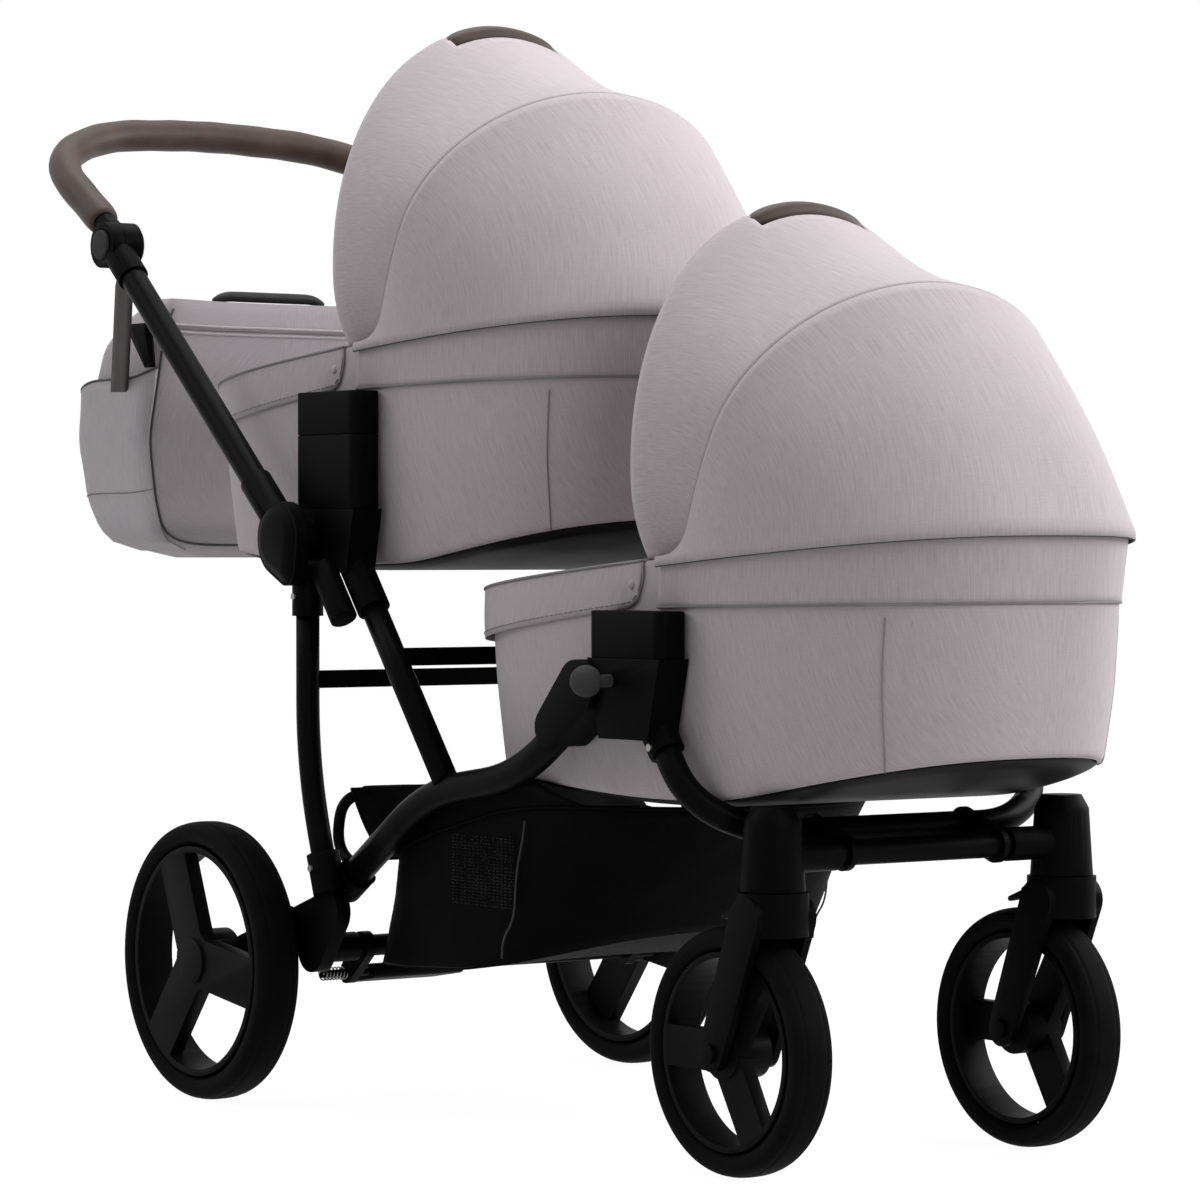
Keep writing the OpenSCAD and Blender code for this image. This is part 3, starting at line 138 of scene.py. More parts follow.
class Nodes:
    """A node tree, emptied, and the one way nodes come into it."""

    def __init__(self, tree):
        self.tree = tree
        tree.nodes.clear()

    def add(self, kind, settings=None, sockets=None):
        node = self.tree.nodes.new(kind)
        for name, value in (settings or {}).items():
            if name == "stops":
                ramp = node.color_ramp
                while len(ramp.elements) < len(value):
                    ramp.elements.new(1.0)
                for element, (at, colour) in zip(ramp.elements, value):
                    element.position, element.color = at, (*colour, 1)
            else:
                setattr(node, name, value)
        for key, value in (sockets or {}).items():
            if isinstance(value, Value):
                self.tree.links.new(value.socket, node.inputs[key])
            else:
                node.inputs[key].default_value = value
        return Outputs(self, node)


class Finish(Nodes):
    """One material and its nodes."""

    def __init__(self, name, **shader):
        self.material = bpy.data.materials.new(name)
        self.material.use_nodes = True
        super().__init__(self.material.node_tree)
        sockets = {key.replace("_", " ").title(): value for key, value in shader.items()}
        self.bsdf = self.add("ShaderNodeBsdfPrincipled", {}, sockets)
        self.out = self.add("ShaderNodeOutputMaterial", {}, {"Surface": self.bsdf["BSDF"]})
        self.place = self.add("ShaderNodeTexCoord")["Object"]
        self.flat = self.add("ShaderNodeUVMap")["UV"]

    def set(self, name, value):
        if isinstance(value, Value):
            self.tree.links.new(value.socket, self.bsdf.node.inputs[name])
        else:
            self.bsdf.node.inputs[name].default_value = value

    def speckle(self, scale, stretch=(1, 1, 1), detail=2.0, on_cloth=False):
        """Noise from 0 to 1, drawn out by the stretch."""
        spot = self.flat if on_cloth else self.place
        drawn = self.add("ShaderNodeMapping", {}, {"Vector": spot, "Scale": stretch})["Vector"]
        return self.add("ShaderNodeTexNoise", {}, {"Vector": drawn, "Scale": scale, "Detail": detail})["Fac"]

    def shades(self, amount, *stops):
        return self.add("ShaderNodeValToRGB", {"stops": stops}, {"Fac": amount})["Color"]

    def bump(self, height, strength, depth):
        bump = self.add("ShaderNodeBump", {}, {"Height": height, "Strength": strength, "Distance": depth})
        self.set("Normal", bump["Normal"])

    def across(self):
        """The cloth's own two directions, in metres."""
        parts = self.add("ShaderNodeSeparateXYZ", {}, {"Vector": self.flat})
        return parts["X"], parts["Y"]


def heather_cloth(name, dark, pale):
    """Melange upholstery cloth: pale and dark yarns in streaks along the cloth, in a plain weave."""
    finish = Finish(name, roughness=0.9, sheen_weight=0.2, sheen_roughness=0.45)
    finish.set("Sheen Tint", (0.95, 0.93, 0.93, 1))
    finish.set("Specular IOR Level", 0.15)
    warp = finish.speckle(1.0, (760, 42, 1), 3.0, on_cloth=True)
    weft = finish.speckle(1.0, (90, 900, 1), 2.0, on_cloth=True)
    clouds = finish.speckle(7.0, detail=1.0)
    yarn = warp * 0.7 + weft * 0.22 + clouds * 0.08
    finish.set("Base Color", finish.shades(yarn, (0.33, dark), (0.67, pale)))
    u, v = finish.across()
    weave = u.wave(1.5 * MM) * v.wave(1.5 * MM)
    finish.bump(weave * 0.5 + warp * 0.5, 0.02, 0.3 * MM)
    return finish.material


def plain_cloth(name, dark, pale, roughness, thread, crease, shine=0.2):
    """A one-colour cloth with a thread grid and soft creases, with painted shade: the colour darkens in the
    low parts of the crease bump.
    """
    finish = Finish(name, roughness=roughness)
    finish.set("Specular IOR Level", shine)
    u, v = finish.across()
    crease_height_and_shade = finish.speckle(14.0, (1, 1, 0.45), 3.0)
    # Painted shade: the colour follows the crease bump, darker where the cloth lies low.
    finish.set("Base Color", finish.shades(crease_height_and_shade, (0.3, dark), (0.72, pale)))
    threads = u.wave(thread) * v.wave(thread)
    finish.bump(threads * 0.25 + crease_height_and_shade * crease, 0.5, 1.2 * MM)
    return finish.material


def leather(name, dark, pale):
    """Soft grained leather with a cloudy colour."""
    finish = Finish(name)
    finish.set("Specular IOR Level", 0.25)
    cells = {"Vector": finish.place, "Scale": 620.0}
    grain = finish.add("ShaderNodeTexVoronoi", {"feature": "DISTANCE_TO_EDGE"}, cells)["Distance"]
    clouds = finish.speckle(26.0, detail=4.0)
    finish.set("Base Color", finish.shades(clouds, (0.3, dark), (0.75, pale)))
    finish.set("Roughness", clouds * 0.22 + 0.36)
    finish.bump(grain.smaller(0.25) * 2.0 + clouds * 0.3, 0.35, 0.5 * MM)
    return finish.material


def satin_paint(name, colour, roughness):
    """Powder-coated tube: slight orange peel and rubbed patches."""
    finish = Finish(name, metallic=0.0)
    finish.set("Specular IOR Level", 0.03)
    peel = finish.speckle(900.0, detail=1.0)
    rubbed = finish.speckle(9.0, (1, 1, 2), 4.0)
    finish.set("Base Color", finish.shades(rubbed, (0.3, colour), (0.8, tuple(c * 1.5 for c in colour))))
    finish.set("Roughness", rubbed * 0.16 + roughness)
    finish.bump(peel, 0.06, 0.3 * MM)
    return finish.material


def moulded_plastic(name, colour, roughness, grain=1600.0, relief=0.12):
    """Spark-eroded moulding texture with faint handling marks."""
    finish = Finish(name)
    finish.set("Specular IOR Level", 0.028)
    pits = finish.speckle(grain, detail=1.0)
    marks = finish.speckle(18.0, detail=5.0)
    rubbed = tuple(c * 1.45 + 0.0006 for c in colour)
    finish.set("Base Color", finish.shades(marks, (0.35, colour), (0.75, rubbed)))
    finish.set("Roughness", marks * 0.14 + roughness)
    finish.bump(pits, relief, 0.3 * MM)
    return finish.material


def tyre_rubber(name):
    """Dull rubber with a little floor dust in the low places."""
    finish = Finish(name)
    finish.set("Specular IOR Level", 0.03)
    dust = finish.speckle(35.0, detail=6.0)
    pits = finish.speckle(1100.0, detail=2.0)
    clean, dusty = (0.003, 0.003, 0.003), (0.006, 0.0058, 0.0056)
    finish.set("Base Color", finish.shades(dust, (0.4, clean), (0.8, dusty)))
    finish.set("Roughness", dust * 0.2 + 0.6)
    finish.bump(pits, 0.15, 0.3 * MM)
    return finish.material


def plated_steel(name):
    finish = Finish(name, metallic=1.0)
    turned = finish.speckle(60.0, (1, 14, 1), 3.0)
    finish.set("Base Color", finish.shades(turned, (0.3, (0.16, 0.155, 0.15)), (0.7, (0.30, 0.29, 0.28))))
    finish.set("Roughness", turned * 0.2 + 0.25)
    return finish.material


def open_mesh(name):
    """Black net: short level threads with gaps between them."""
    finish = Finish(name, roughness=0.8)
    finish.set("Specular IOR Level", 0.05)
    u, v = finish.across()
    threads = v.wave(3.2 * MM) + u.wave(7 * MM) * 0.5
    shade = finish.speckle(40.0)
    finish.set("Base Color", finish.shades(shade, (0.3, (0.008, 0.008, 0.0085)), (0.7, (0.02, 0.02, 0.021))))
    finish.set("Alpha", (threads > 0.75) * 0.85 + 0.1)
    return finish.material


CLOTH = heather_cloth("heather_cloth", (0.385, 0.341, 0.358), (0.485, 0.437, 0.456))
BAG_CLOTH = heather_cloth("bag_cloth", (0.39, 0.354, 0.372), (0.485, 0.446, 0.466))
# Charcoal piping on the bag; on the hood's hem the same colour is a painted shadow.
PIPING_AND_HEM_SHADOW = plain_cloth("charcoal_piping_and_hem_shadow", (0.055, 0.052, 0.053), (0.10, 0.095, 0.097), 0.75, 1.1 * MM, 0.1)
SEAM = plain_cloth("seam_tape", (0.20, 0.185, 0.19), (0.28, 0.26, 0.265), 0.85, 1.1 * MM, 0.1)
LINING = plain_cloth("pale_lining", (0.50, 0.48, 0.46), (0.62, 0.60, 0.575), 0.9, 1.6 * MM, 0.5)
BASKET_CLOTH = plain_cloth("basket_cloth", (0.0015, 0.0014, 0.0014), (0.0035, 0.0033, 0.0033),
                           0.6, 2.2 * MM, 0.9, 0.02)
THREAD = plain_cloth("grey_piping", (0.035, 0.034, 0.035), (0.06, 0.058, 0.06), 0.75, 1.1 * MM, 0.1)
NET = open_mesh("basket_net")
LEATHER = leather("brown_leather", (0.032, 0.019, 0.015), (0.06, 0.037, 0.03))
STRAP_LEATHER = leather("strap_leather", (0.009, 0.0055, 0.0045), (0.016, 0.01, 0.0085))
BLACK_LEATHER = leather("black_leather", (0.004, 0.004, 0.004), (0.009, 0.0085, 0.0085))
TUBE = satin_paint("black_tube", (0.0022, 0.002, 0.002), 0.30)
HOUSING = moulded_plastic("black_housing", (0.0012, 0.0011, 0.0011), 0.42)
RIM = moulded_plastic("rim_plastic", (0.0035, 0.0033, 0.0032), 0.40, 1200.0, 0.08)
KNOB = moulded_plastic("charcoal_knob", (0.045, 0.043, 0.044), 0.5)
TRAY = moulded_plastic("tray_plastic", (0.012, 0.0115, 0.012), 0.42)
BOW = moulded_plastic("bow_plastic", (0.012, 0.012, 0.012), 0.5)
RUBBER = tyre_rubber("tyre_rubber")
STEEL = plated_steel("plated_steel")


# Making pieces
def piece(name, verts, faces, material, body, uvs=None, sharp=None):
    """A mesh piece that rides on a body; uvs is one pair per vertex."""
    mesh = bpy.data.meshes.new(name)
    mesh.from_pydata([tuple(v) for v in verts], [], faces)
    mesh.validate()
    for polygon in mesh.polygons:
        polygon.use_smooth = True
    if uvs:
        layer = mesh.uv_layers.new(name="cloth")
        for loop in mesh.loops:
            layer.data[loop.index].uv = uvs[loop.vertex_index]
    if sharp:
        mesh.set_sharp_from_angle(angle=math.radians(sharp))
    mesh.materials.append(material)
    made = bpy.data.objects.new(name, mesh)
    scene.collection.objects.link(made)
    if body:
        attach(made, body)
    return made


def sheet(name, rows, material, body, closed=False, sharp=None):
    """A smooth piece through equal rows of points."""
    verts, faces, uvs = grid(rows, closed)
    return piece(name, verts, faces, material, body, uvs, sharp)


def grid(rows, closed=False):
    """Vertices, faces and lengthwise-measured uvs of a sheet over equal rows of points."""
    count = len(rows[0])
    verts, faces, uvs = [], [], []
    along = 0.0
    for i, row in enumerate(rows):
        if i:
            along += sum((row[k] - rows[i - 1][k]).length for k in range(count)) / count
        across = 0.0
        for k, point in enumerate(row):
            if k:
                across += (point - row[k - 1]).length
            verts.append(point)
            uvs.append((across, along))
    for i in range(len(rows) - 1):
        for k in range(count if closed else count - 1):
            m = (k + 1) % count
            faces.append((i * count + k, i * count + m, (i + 1) * count + m, (i + 1) * count + k))
    return verts, faces, uvs


def capped(faces, rows, count):
    return faces + [tuple(reversed(range(count))), tuple(range((rows - 1) * count, rows * count))]


def thicken(made, thickness, offset=-1.0, smoothing=0):
    solid = made.modifiers.new("cloth_thickness", "SOLIDIFY")
    solid.thickness, solid.offset = thickness, offset
    solid.use_rim = True
    if smoothing:
        made.modifiers.new("soft", "SUBSURF").levels = smoothing
        made.modifiers["soft"].render_levels = smoothing
    return made


def pipe_rows(path, radius, sides, closed=False):
    """Rings round a path, turned along it without twist; radius may be a function of the share."""
    count = len(path)
    rows, up = [], None
    for i, point in enumerate(path):
        before = path[i - 1] if (i or closed) else point
        after = path[(i + 1) % count] if (i < count - 1 or closed) else point
        along = (after - before).normalized()
        if up is None:
            up = along.orthogonal().normalized()
        up = (up - along * up.dot(along)).normalized()
        side = along.cross(up)
        r = radius(i / (count - 1)) if callable(radius) else radius
        rows.append([point + (up * math.cos(a) + side * math.sin(a)) * r
                     for a in (2 * math.pi * k / sides for k in range(sides))])
    return rows


def pipe(name, path, radius, material, body, sides=20, closed=False):
    rows = pipe_rows(path, radius, sides, closed)
    if closed:
        rows.append(rows[0])
    verts, faces, uvs = grid([row + [row[0]] for row in rows])
    if not closed:
        n = sides + 1
        faces = faces + [tuple(reversed(range(sides))), tuple((len(rows) - 1) * n + k for k in range(sides))]
    made = piece(name, verts, faces, material, body, uvs)
    weld(made)
    return made


def stepped(*radii):
    """A radius that takes these values in turn along a path."""
    return lambda share: radii[round(share * (len(radii) - 1))] * MM


def rounded_ends(radius, loss):
    """A radius that falls by the loss at both ends of a path."""
    return lambda share: (radius - loss * (2 * abs(share - 0.5)) ** 8) * MM


def weld(made):
    work = bmesh.new()
    work.from_mesh(made.data)
    bmesh.ops.remove_doubles(work, verts=work.verts, dist=1e-6)
    work.to_mesh(made.data)
    work.free()


def joined(name, made):
    """Merges pieces of one body and material into the first of them."""
    first = made[0]
    work = bmesh.new()
    for other in made:
        work.from_mesh(other.data)
    work.to_mesh(first.data)
    work.free()
    for other in made[1:]:
        bpy.data.objects.remove(other)
    first.name = name
    return first


def softened(node, material, width, segments=3, body=None):
    """A copy of a moulded CAD piece with its edges rounded."""
    work = bmesh.new()
    work.from_mesh(nodes[node].data)
    bmesh.ops.remove_doubles(work, verts=work.verts, dist=1e-5)
    bmesh.ops.dissolve_limit(work, angle_limit=math.radians(0.6), verts=work.verts, edges=work.edges)
    mesh = bpy.data.meshes.new(node + "_moulded")
    work.to_mesh(mesh)
    work.free()
    for polygon in mesh.polygons:
        polygon.use_smooth = True
    mesh.materials.append(material)
    made = bpy.data.objects.new(node + "_moulded", mesh)
    scene.collection.objects.link(made)
    bevel = made.modifiers.new("rounded_edges", "BEVEL")
    bevel.width, bevel.segments = width, segments
    bevel.limit_method, bevel.angle_limit = "ANGLE", math.radians(38)
    bevel.harden_normals = True
    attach(made, body or nodes[node]["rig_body"])
    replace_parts(made, node)
    return made


def finish_node(node, material):
    """Gives a CAD node that stays in view its finish."""
    mesh = nodes[node].data
    mesh.materials.clear()
    mesh.materials.append(material)


def mix(a, b, share):
    return a + (b - a) * share


def eased(route, run, steps=8):
    """The frame's bends: each inner corner becomes a short curve."""
    path = [route[0]]
    for before, corner, after in zip(route, route[1:], route[2:]):
        start = corner + (before - corner).normalized() * run
        end = corner + (after - corner).normalized() * run
        for k in range(steps + 1):
            t = k / steps
            path.append(mix(mix(start, corner, t), mix(corner, end, t), t))
    path.append(route[-1])
    return path


def at(x, y, z):
    """A point given in millimetres from the rear axle, the middle plane and the floor."""
    return Vector((x * MM + REAR_AXLE, y * MM, z * MM))


def flipped(route):
    return [Vector((p.x, -p.y, p.z)) for p in route]


def spaced(points, count):
    """Places at equal distances along a line: the segment of each and the share of that segment."""
    lengths = [0.0]
    for a, b in zip(points, points[1:]):
        lengths.append(lengths[-1] + (b - a).length)
    i = 0
    for k in range(count):
        target = lengths[-1] * k / (count - 1)
        while i < len(points) - 2 and lengths[i + 1] < target:
            i += 1
        span = lengths[i + 1] - lengths[i]
        yield i, (target - lengths[i]) / span if span else 0


def even(points, count):
    """The same line, with points at equal distances."""
    return [mix(points[i], points[i + 1], share) for i, share in spaced(points, count)]


def ripple(point, scale, seed=0.0):
    return noise.noise(Vector((point.x * scale + seed, point.y * scale, point.z * scale)))


def superellipse(turn, power):
    c, s = math.cos(math.radians(turn)), math.sin(math.radians(turn))
    return (math.copysign(abs(c) ** (2 / power), c), math.copysign(abs(s) ** (2 / power), s))


# Chassis
# Each tube's route on the right-hand side, the length of its bends and its radius
LEGS = ((140, -240, 546), (140, -240, 350), (178, -240, 236)), 70, 12
SIDE_TUBES = ((176, -212, 236), (322, -212, 333), (478, -212, 354), (590, -212, 430)), 60, 15
FRONT_HOOP = ((690, -213, 424), (748, -213, 343), (779, -150, 313)), 38, 13
BASKET_HOOP = ((176, -186.7, 236), (110, -186.7, 264), (122, -186.7, 320)), 26, 6
STRUTS = ((188, -215, 562), (355, -215, 346)), 0, 13
SPRING_PLACE = (122, -213.5, 136)
SPRING_R, SPRING_PITCH, SPRING_TURNS, SPRING_WIRE_R = 6.2, 4.2, 7, 0.8


def tube_pair(node, route, bend, radius):
    """Two tubes, one on each side."""
    path = eased([at(*p) for p in route], bend * MM)
    pair = [pipe(f"{node}_{k}", p, radius * MM, TUBE, "chassis", 28)
            for k, p in enumerate((path, flipped(path)))]
    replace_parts(joined(node + "_round", pair), node)


def tube_hoop(node, route, bend, radius, sides=28):
    """One tube that runs on across to the other side."""
    half = [at(*p) for p in route]
    path = eased(half + flipped(half)[::-1], bend * MM)
    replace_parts(pipe(node + "_round", path, radius * MM, TUBE, "chassis", sides), node)


def brake_spring():
    x, y, z = SPRING_PLACE
    steps = 24
    coil = []
    for k in range(steps * SPRING_TURNS + 1):
        turn = 2 * math.pi * k / steps
        coil.append(at(x + SPRING_R * math.cos(turn), y + SPRING_PITCH * turn / (2 * math.pi),
                       z + SPRING_R * math.sin(turn)))
    wire = pipe("brake_spring_wire", coil, SPRING_WIRE_R * MM, STEEL, "chassis", 8)
    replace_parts(wire, "brake_spring")


def dress_chassis():
    tube_pair("rear_legs", *LEGS)
    tube_pair("side_tubes", *SIDE_TUBES)
    tube_hoop("front_hoop", *FRONT_HOOP)
    tube_hoop("basket_hoop", *BASKET_HOOP, sides=16)
    tube_pair("struts", *STRUTS)
    for node in ("crossbars", "rear_beam", "brake_rod", "front_cross_tube"):
        finish_node(node, TUBE)
    for node, width in (("rear_joints", 2.5), ("riser_adapters", 1.5), ("front_joints", 3.0),
                        ("swivel_housings", 2.5), ("rear_feet", 3.0), ("brake_pedal", 2.5)):
        softened(node, HOUSING, width * MM)
    finish_node("frame_screws", STEEL)
    brake_spring()
    for node in ("right_release_knob", "left_release_knob"):
        finish_node(node, KNOB)


# Wheels
# Each end's axle, track, tyre diameter, seat diameter and tyre width
WHEELS = {"rear": (0, 546, 290, 240, 48), "front": (776, 350, 230, 184, 44)}


def tyre_rings(wheel_d, seat_d, width):
    """A tyre's surface: rounded sidewalls with a bead line, and a smooth tread between two grooves."""
    profile_steps, segments = 72, 144
    mid_r, half_h = (wheel_d + seat_d) / 4, (wheel_d - seat_d) / 4
    profile = []
    for k in range(profile_steps):
        c, w = superellipse(360 * k / profile_steps, 2.7)
        groove = 1.3 * MM * (math.exp(-((abs(w) - 0.55) / 0.035) ** 2) if c > 0.5 else 0)
        bead = 0.03 * math.exp(-((c + 0.35) / 0.06) ** 2)
        profile.append((mid_r + half_h * c - groove, width / 2 * w * (1 - bead)))
    turns = [2 * math.pi * s / segments for s in range(segments)]
    return [[Vector((radius * math.cos(t), y, radius * math.sin(t))) for radius, y in profile] for t in turns]


def dress_wheels():
    for end, (x, track, d, seat, width) in WHEELS.items():
        for sign, side in SIDES:
            body = f"{end}_{side}_wheel"
            middle = at(x, sign * track / 2, d / 2)
            rows = [[middle + p for p in row] for row in tyre_rings(d * MM, seat * MM, width * MM)]
            rows.append(rows[0])
            rings = [row + [row[0]] for row in rows]
            made = sheet(f"{end}_{side}_tread", rings, RUBBER, body, sharp=50)
            weld(made)
            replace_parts(made, f"{end}_{side}_tyre")
            softened(f"{end}_{side}_rim", RIM, 2.2 * MM, 3)
    for _, side in SIDES:
        softened(f"{side}_fork", HOUSING, 2.5 * MM)
        softened(f"{side}_swivel_lock", HOUSING, 1.0 * MM, 2)


# Pusher and handle
FOLD_X, FOLD_Z = 132, 585
HINGE_X, HINGE_Z = -230, 905
HANDLE_RISE = math.radians(33)
# Distances from the hinge along the handle, and from the middle plane
HANDLE_ROUTE = ((12.5, -242.7), (188, -242.7), (262, -149.7), (278, 0))
HANDLE_BEND, HANDLE_R = 58, 13
GRIP_START, GRIP_R = 50, 18.0
# The fold cover: a large round, a small one below it, and the inset and distance of each step of its dome
COVER_R, COVER_TAIL_R, COVER_TAIL = 38, 18, 34
COVER_DROP = math.atan2(-30, 16)
COVER_DOME = ((0, 257), (0, 265), (0.8, 268.5), (2.6, 271.5), (5.5, 274), (9, 276), (13, 277.3), (16, 278))


def dress_pusher():
    finish_node("pusher_tubes", TUBE)
    softened("pusher_fittings", HOUSING, 3.0 * MM, 4)
    for sign, side in SIDES:
        fold_cover(f"fold_cover_{side}", sign)

    def reach(distance, y):
        along, up = distance * math.cos(HANDLE_RISE), distance * math.sin(HANDLE_RISE)
        return at(HINGE_X - along, y, HINGE_Z + up)

    half = [reach(*p) for p in HANDLE_ROUTE]
    path = even(eased(half + flipped(half[:-1])[::-1], HANDLE_BEND * MM, 16), 241)
    bar = pipe("handle_bar_round", path, HANDLE_R * MM, TUBE, "handle", 28)
    knuckles = []
    for sign in (-1, 1):
        ends = [at(HINGE_X, sign * y, HINGE_Z) for y in (229.7, 233, 253, 256)]
        radius = stepped(21, 25, 25, 23.5)
        knuckles.append(pipe(f"knuckle_{sign}", ends, radius, TUBE, "handle", 40))
    bar = joined("handle_bar_round", [bar] + knuckles)
    bar.data.set_sharp_from_angle(angle=math.radians(40))
    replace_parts(bar, "handle_bar")
    held = [p for p in path if p.x < reach(GRIP_START, 0).x]
    count = len(held) - 1

    def swell(share):
        near = min(share, 1 - share) * count
        return (GRIP_R - 2.2 * math.exp(-near / 1.2) + 0.25 * math.sin(share * 90)) * MM

    grip = pipe("leather_grip", held, swell, LEATHER, "handle", 28)
    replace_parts(grip, "handle_grip")
    down = Vector((-math.sin(HANDLE_RISE), 0, -math.cos(HANDLE_RISE))).normalized()
    under = [p + down * GRIP_R * MM for p in even(held, 260)]
    stitched("grip_seam", under, LEATHER, "handle", 0.9)
    for node in ("right_handle_button", "left_handle_button"):
        softened(node, KNOB, 2.0 * MM, 3)


def stitched(name, line, material, body, radius=0.7):
    """A row of short raised stitches along a line."""
    pitch = 2
    runs = [line[k:k + pitch + 1] for k in range(0, len(line) - pitch, pitch + 1)]
    verts, faces = [], []
    for run in runs:
        rows = pipe_rows(run, radius * MM, 6)
        v, f, _ = grid(rows, closed=True)
        base = len(verts)
        verts += v
        faces += [tuple(base + k for k in face) for face in capped(f, len(rows), 6)]
    return piece(name, verts, faces, material, body)


def fold_cover(name, sign):
    """The smooth egg-shaped cap over a fold pin."""
    tail_starts = (COVER_R - COVER_TAIL_R) / COVER_TAIL
    steps, rows = 64, []
    for inset, y in COVER_DOME:
        row = []
        for k in range(steps):
            turn = 2 * math.pi * k / steps
            on_tail = math.cos(turn - COVER_DROP) > tail_starts
            centre, radius = (COVER_TAIL, COVER_TAIL_R) if on_tail else (0, COVER_R)
            x = centre * math.cos(COVER_DROP) + (radius - inset) * math.cos(turn)
            z = centre * math.sin(COVER_DROP) + (radius - inset) * math.sin(turn)
            row.append(at(FOLD_X + x, sign * y, FOLD_Z + z))
        rows.append(row)
    verts, faces, _ = grid(rows, closed=True)
    faces = capped(faces, len(rows), steps)
    return piece(name, verts, faces, HOUSING, "pusher", sharp=45)


# Carrycots
COT_MID, COT_HALF_L, COT_HALF_W, COT_POWER = -47 * MM, 377 * MM, 200 * MM, 2.7
TUB_LOW = -197.7 * MM
COT_PIVOTS = {"rear": (167, 0, 755), "front": (682, 0, 537)}
HEAD_TURN = math.degrees(math.acos(((6 * MM - COT_MID) / COT_HALF_L) ** (COT_POWER / 2)))
APRON_BACK = -18 * MM
MAIN_BOW = (199.5 * MM, 182.4 * MM, 95 * MM, 359 * MM, math.radians(-5))
MID_BOW = (190.4 * MM, 169.8 * MM, 170 * MM, 320 * MM, math.radians(31))


def rim_z(x):
    return 25 * MM + 0.085 * x


def ramp(d):
    return (d + math.hypot(d, 40 * MM)) / 2


def rocker(x):
    return 0.205 * ramp(x - 75 * MM) + 0.055 * ramp(-60 * MM - x)


def plan(turn, end_in=0.0, side_in=0.0):
    c, s = superellipse(turn, COT_POWER)
    return COT_MID + c * (COT_HALF_L - end_in), s * (COT_HALF_W - side_in)


def even_turns(first, last, count):
    """Turns that lie at equal distances round a carrycot."""
    dense = [mix(first, last, k / 1500) for k in range(1501)]
    out = [dense[i] for i, _ in spaced([Vector((*plan(t), 0)) for t in dense], count)]
    out[-1] = last
    return out


def arch(share, bow, grow):
    """A hood bow: straight legs that lean inwards at the feet, joined by half an ellipse."""
    half_w, foot_y, shoulder, height, lean = bow
    leg = min(1.0, share / 0.25, (1 - share) / 0.25)
    turn = math.pi * max(0.0, min(1.0, (share - 0.25) / 0.5))
    y = -math.cos(turn) * (half_w + grow - (half_w - foot_y) * (1 - leg) ** 2)
    r = mix(28 * MM, shoulder, leg) + (height + grow - shoulder) * math.sin(turn)
    return Vector((r * math.sin(lean), y, r * math.cos(lean)))


def arch_line(bow, grow, count):
    return even([arch(k / 600, bow, grow) for k in range(601)], count)


def rounded_rows(rows, times):
    """Cuts the corners between rows of points, keeping the first and last row."""
    for _ in range(times):
        cut = [rows[0]]
        for low, high in zip(rows, rows[1:]):
            for share in (0.25, 0.75):
                cut.append([mix(a, b, share) for a, b in zip(low, high)])
        rows = cut + [rows[-1]]
    return rows


def tub_ring(turns, end_in, side_in, z, rock=0, rim=0):
    row = []
    for turn in turns:
        x, y = plan(turn, end_in * MM, side_in * MM)
        row.append(Vector((x, y, z * MM + rock * rocker(x) + rim * rim_z(x))))
    return row


def tub_side(turns, wall):
    """The carrycot's wall from its base edge up to the rim."""
    rows = [tub_ring(turns, 30 + wall, 18 + wall, -197.7 + wall, rock=1),
            tub_ring(turns, 25 + wall, 13 + wall, -195.5 + wall, rock=1),
            tub_ring(turns, 23.5 + wall, 11 + wall, -184 + wall / 2, rock=1),
            tub_ring(turns, 19 + wall, 2 + wall, -100), tub_ring(turns, 17 + wall, wall, -72),
            tub_ring(turns, 12 + wall, wall, -18), tub_ring(turns, wall, wall, 0, rim=1)]
    return rounded_rows(rows, 2)


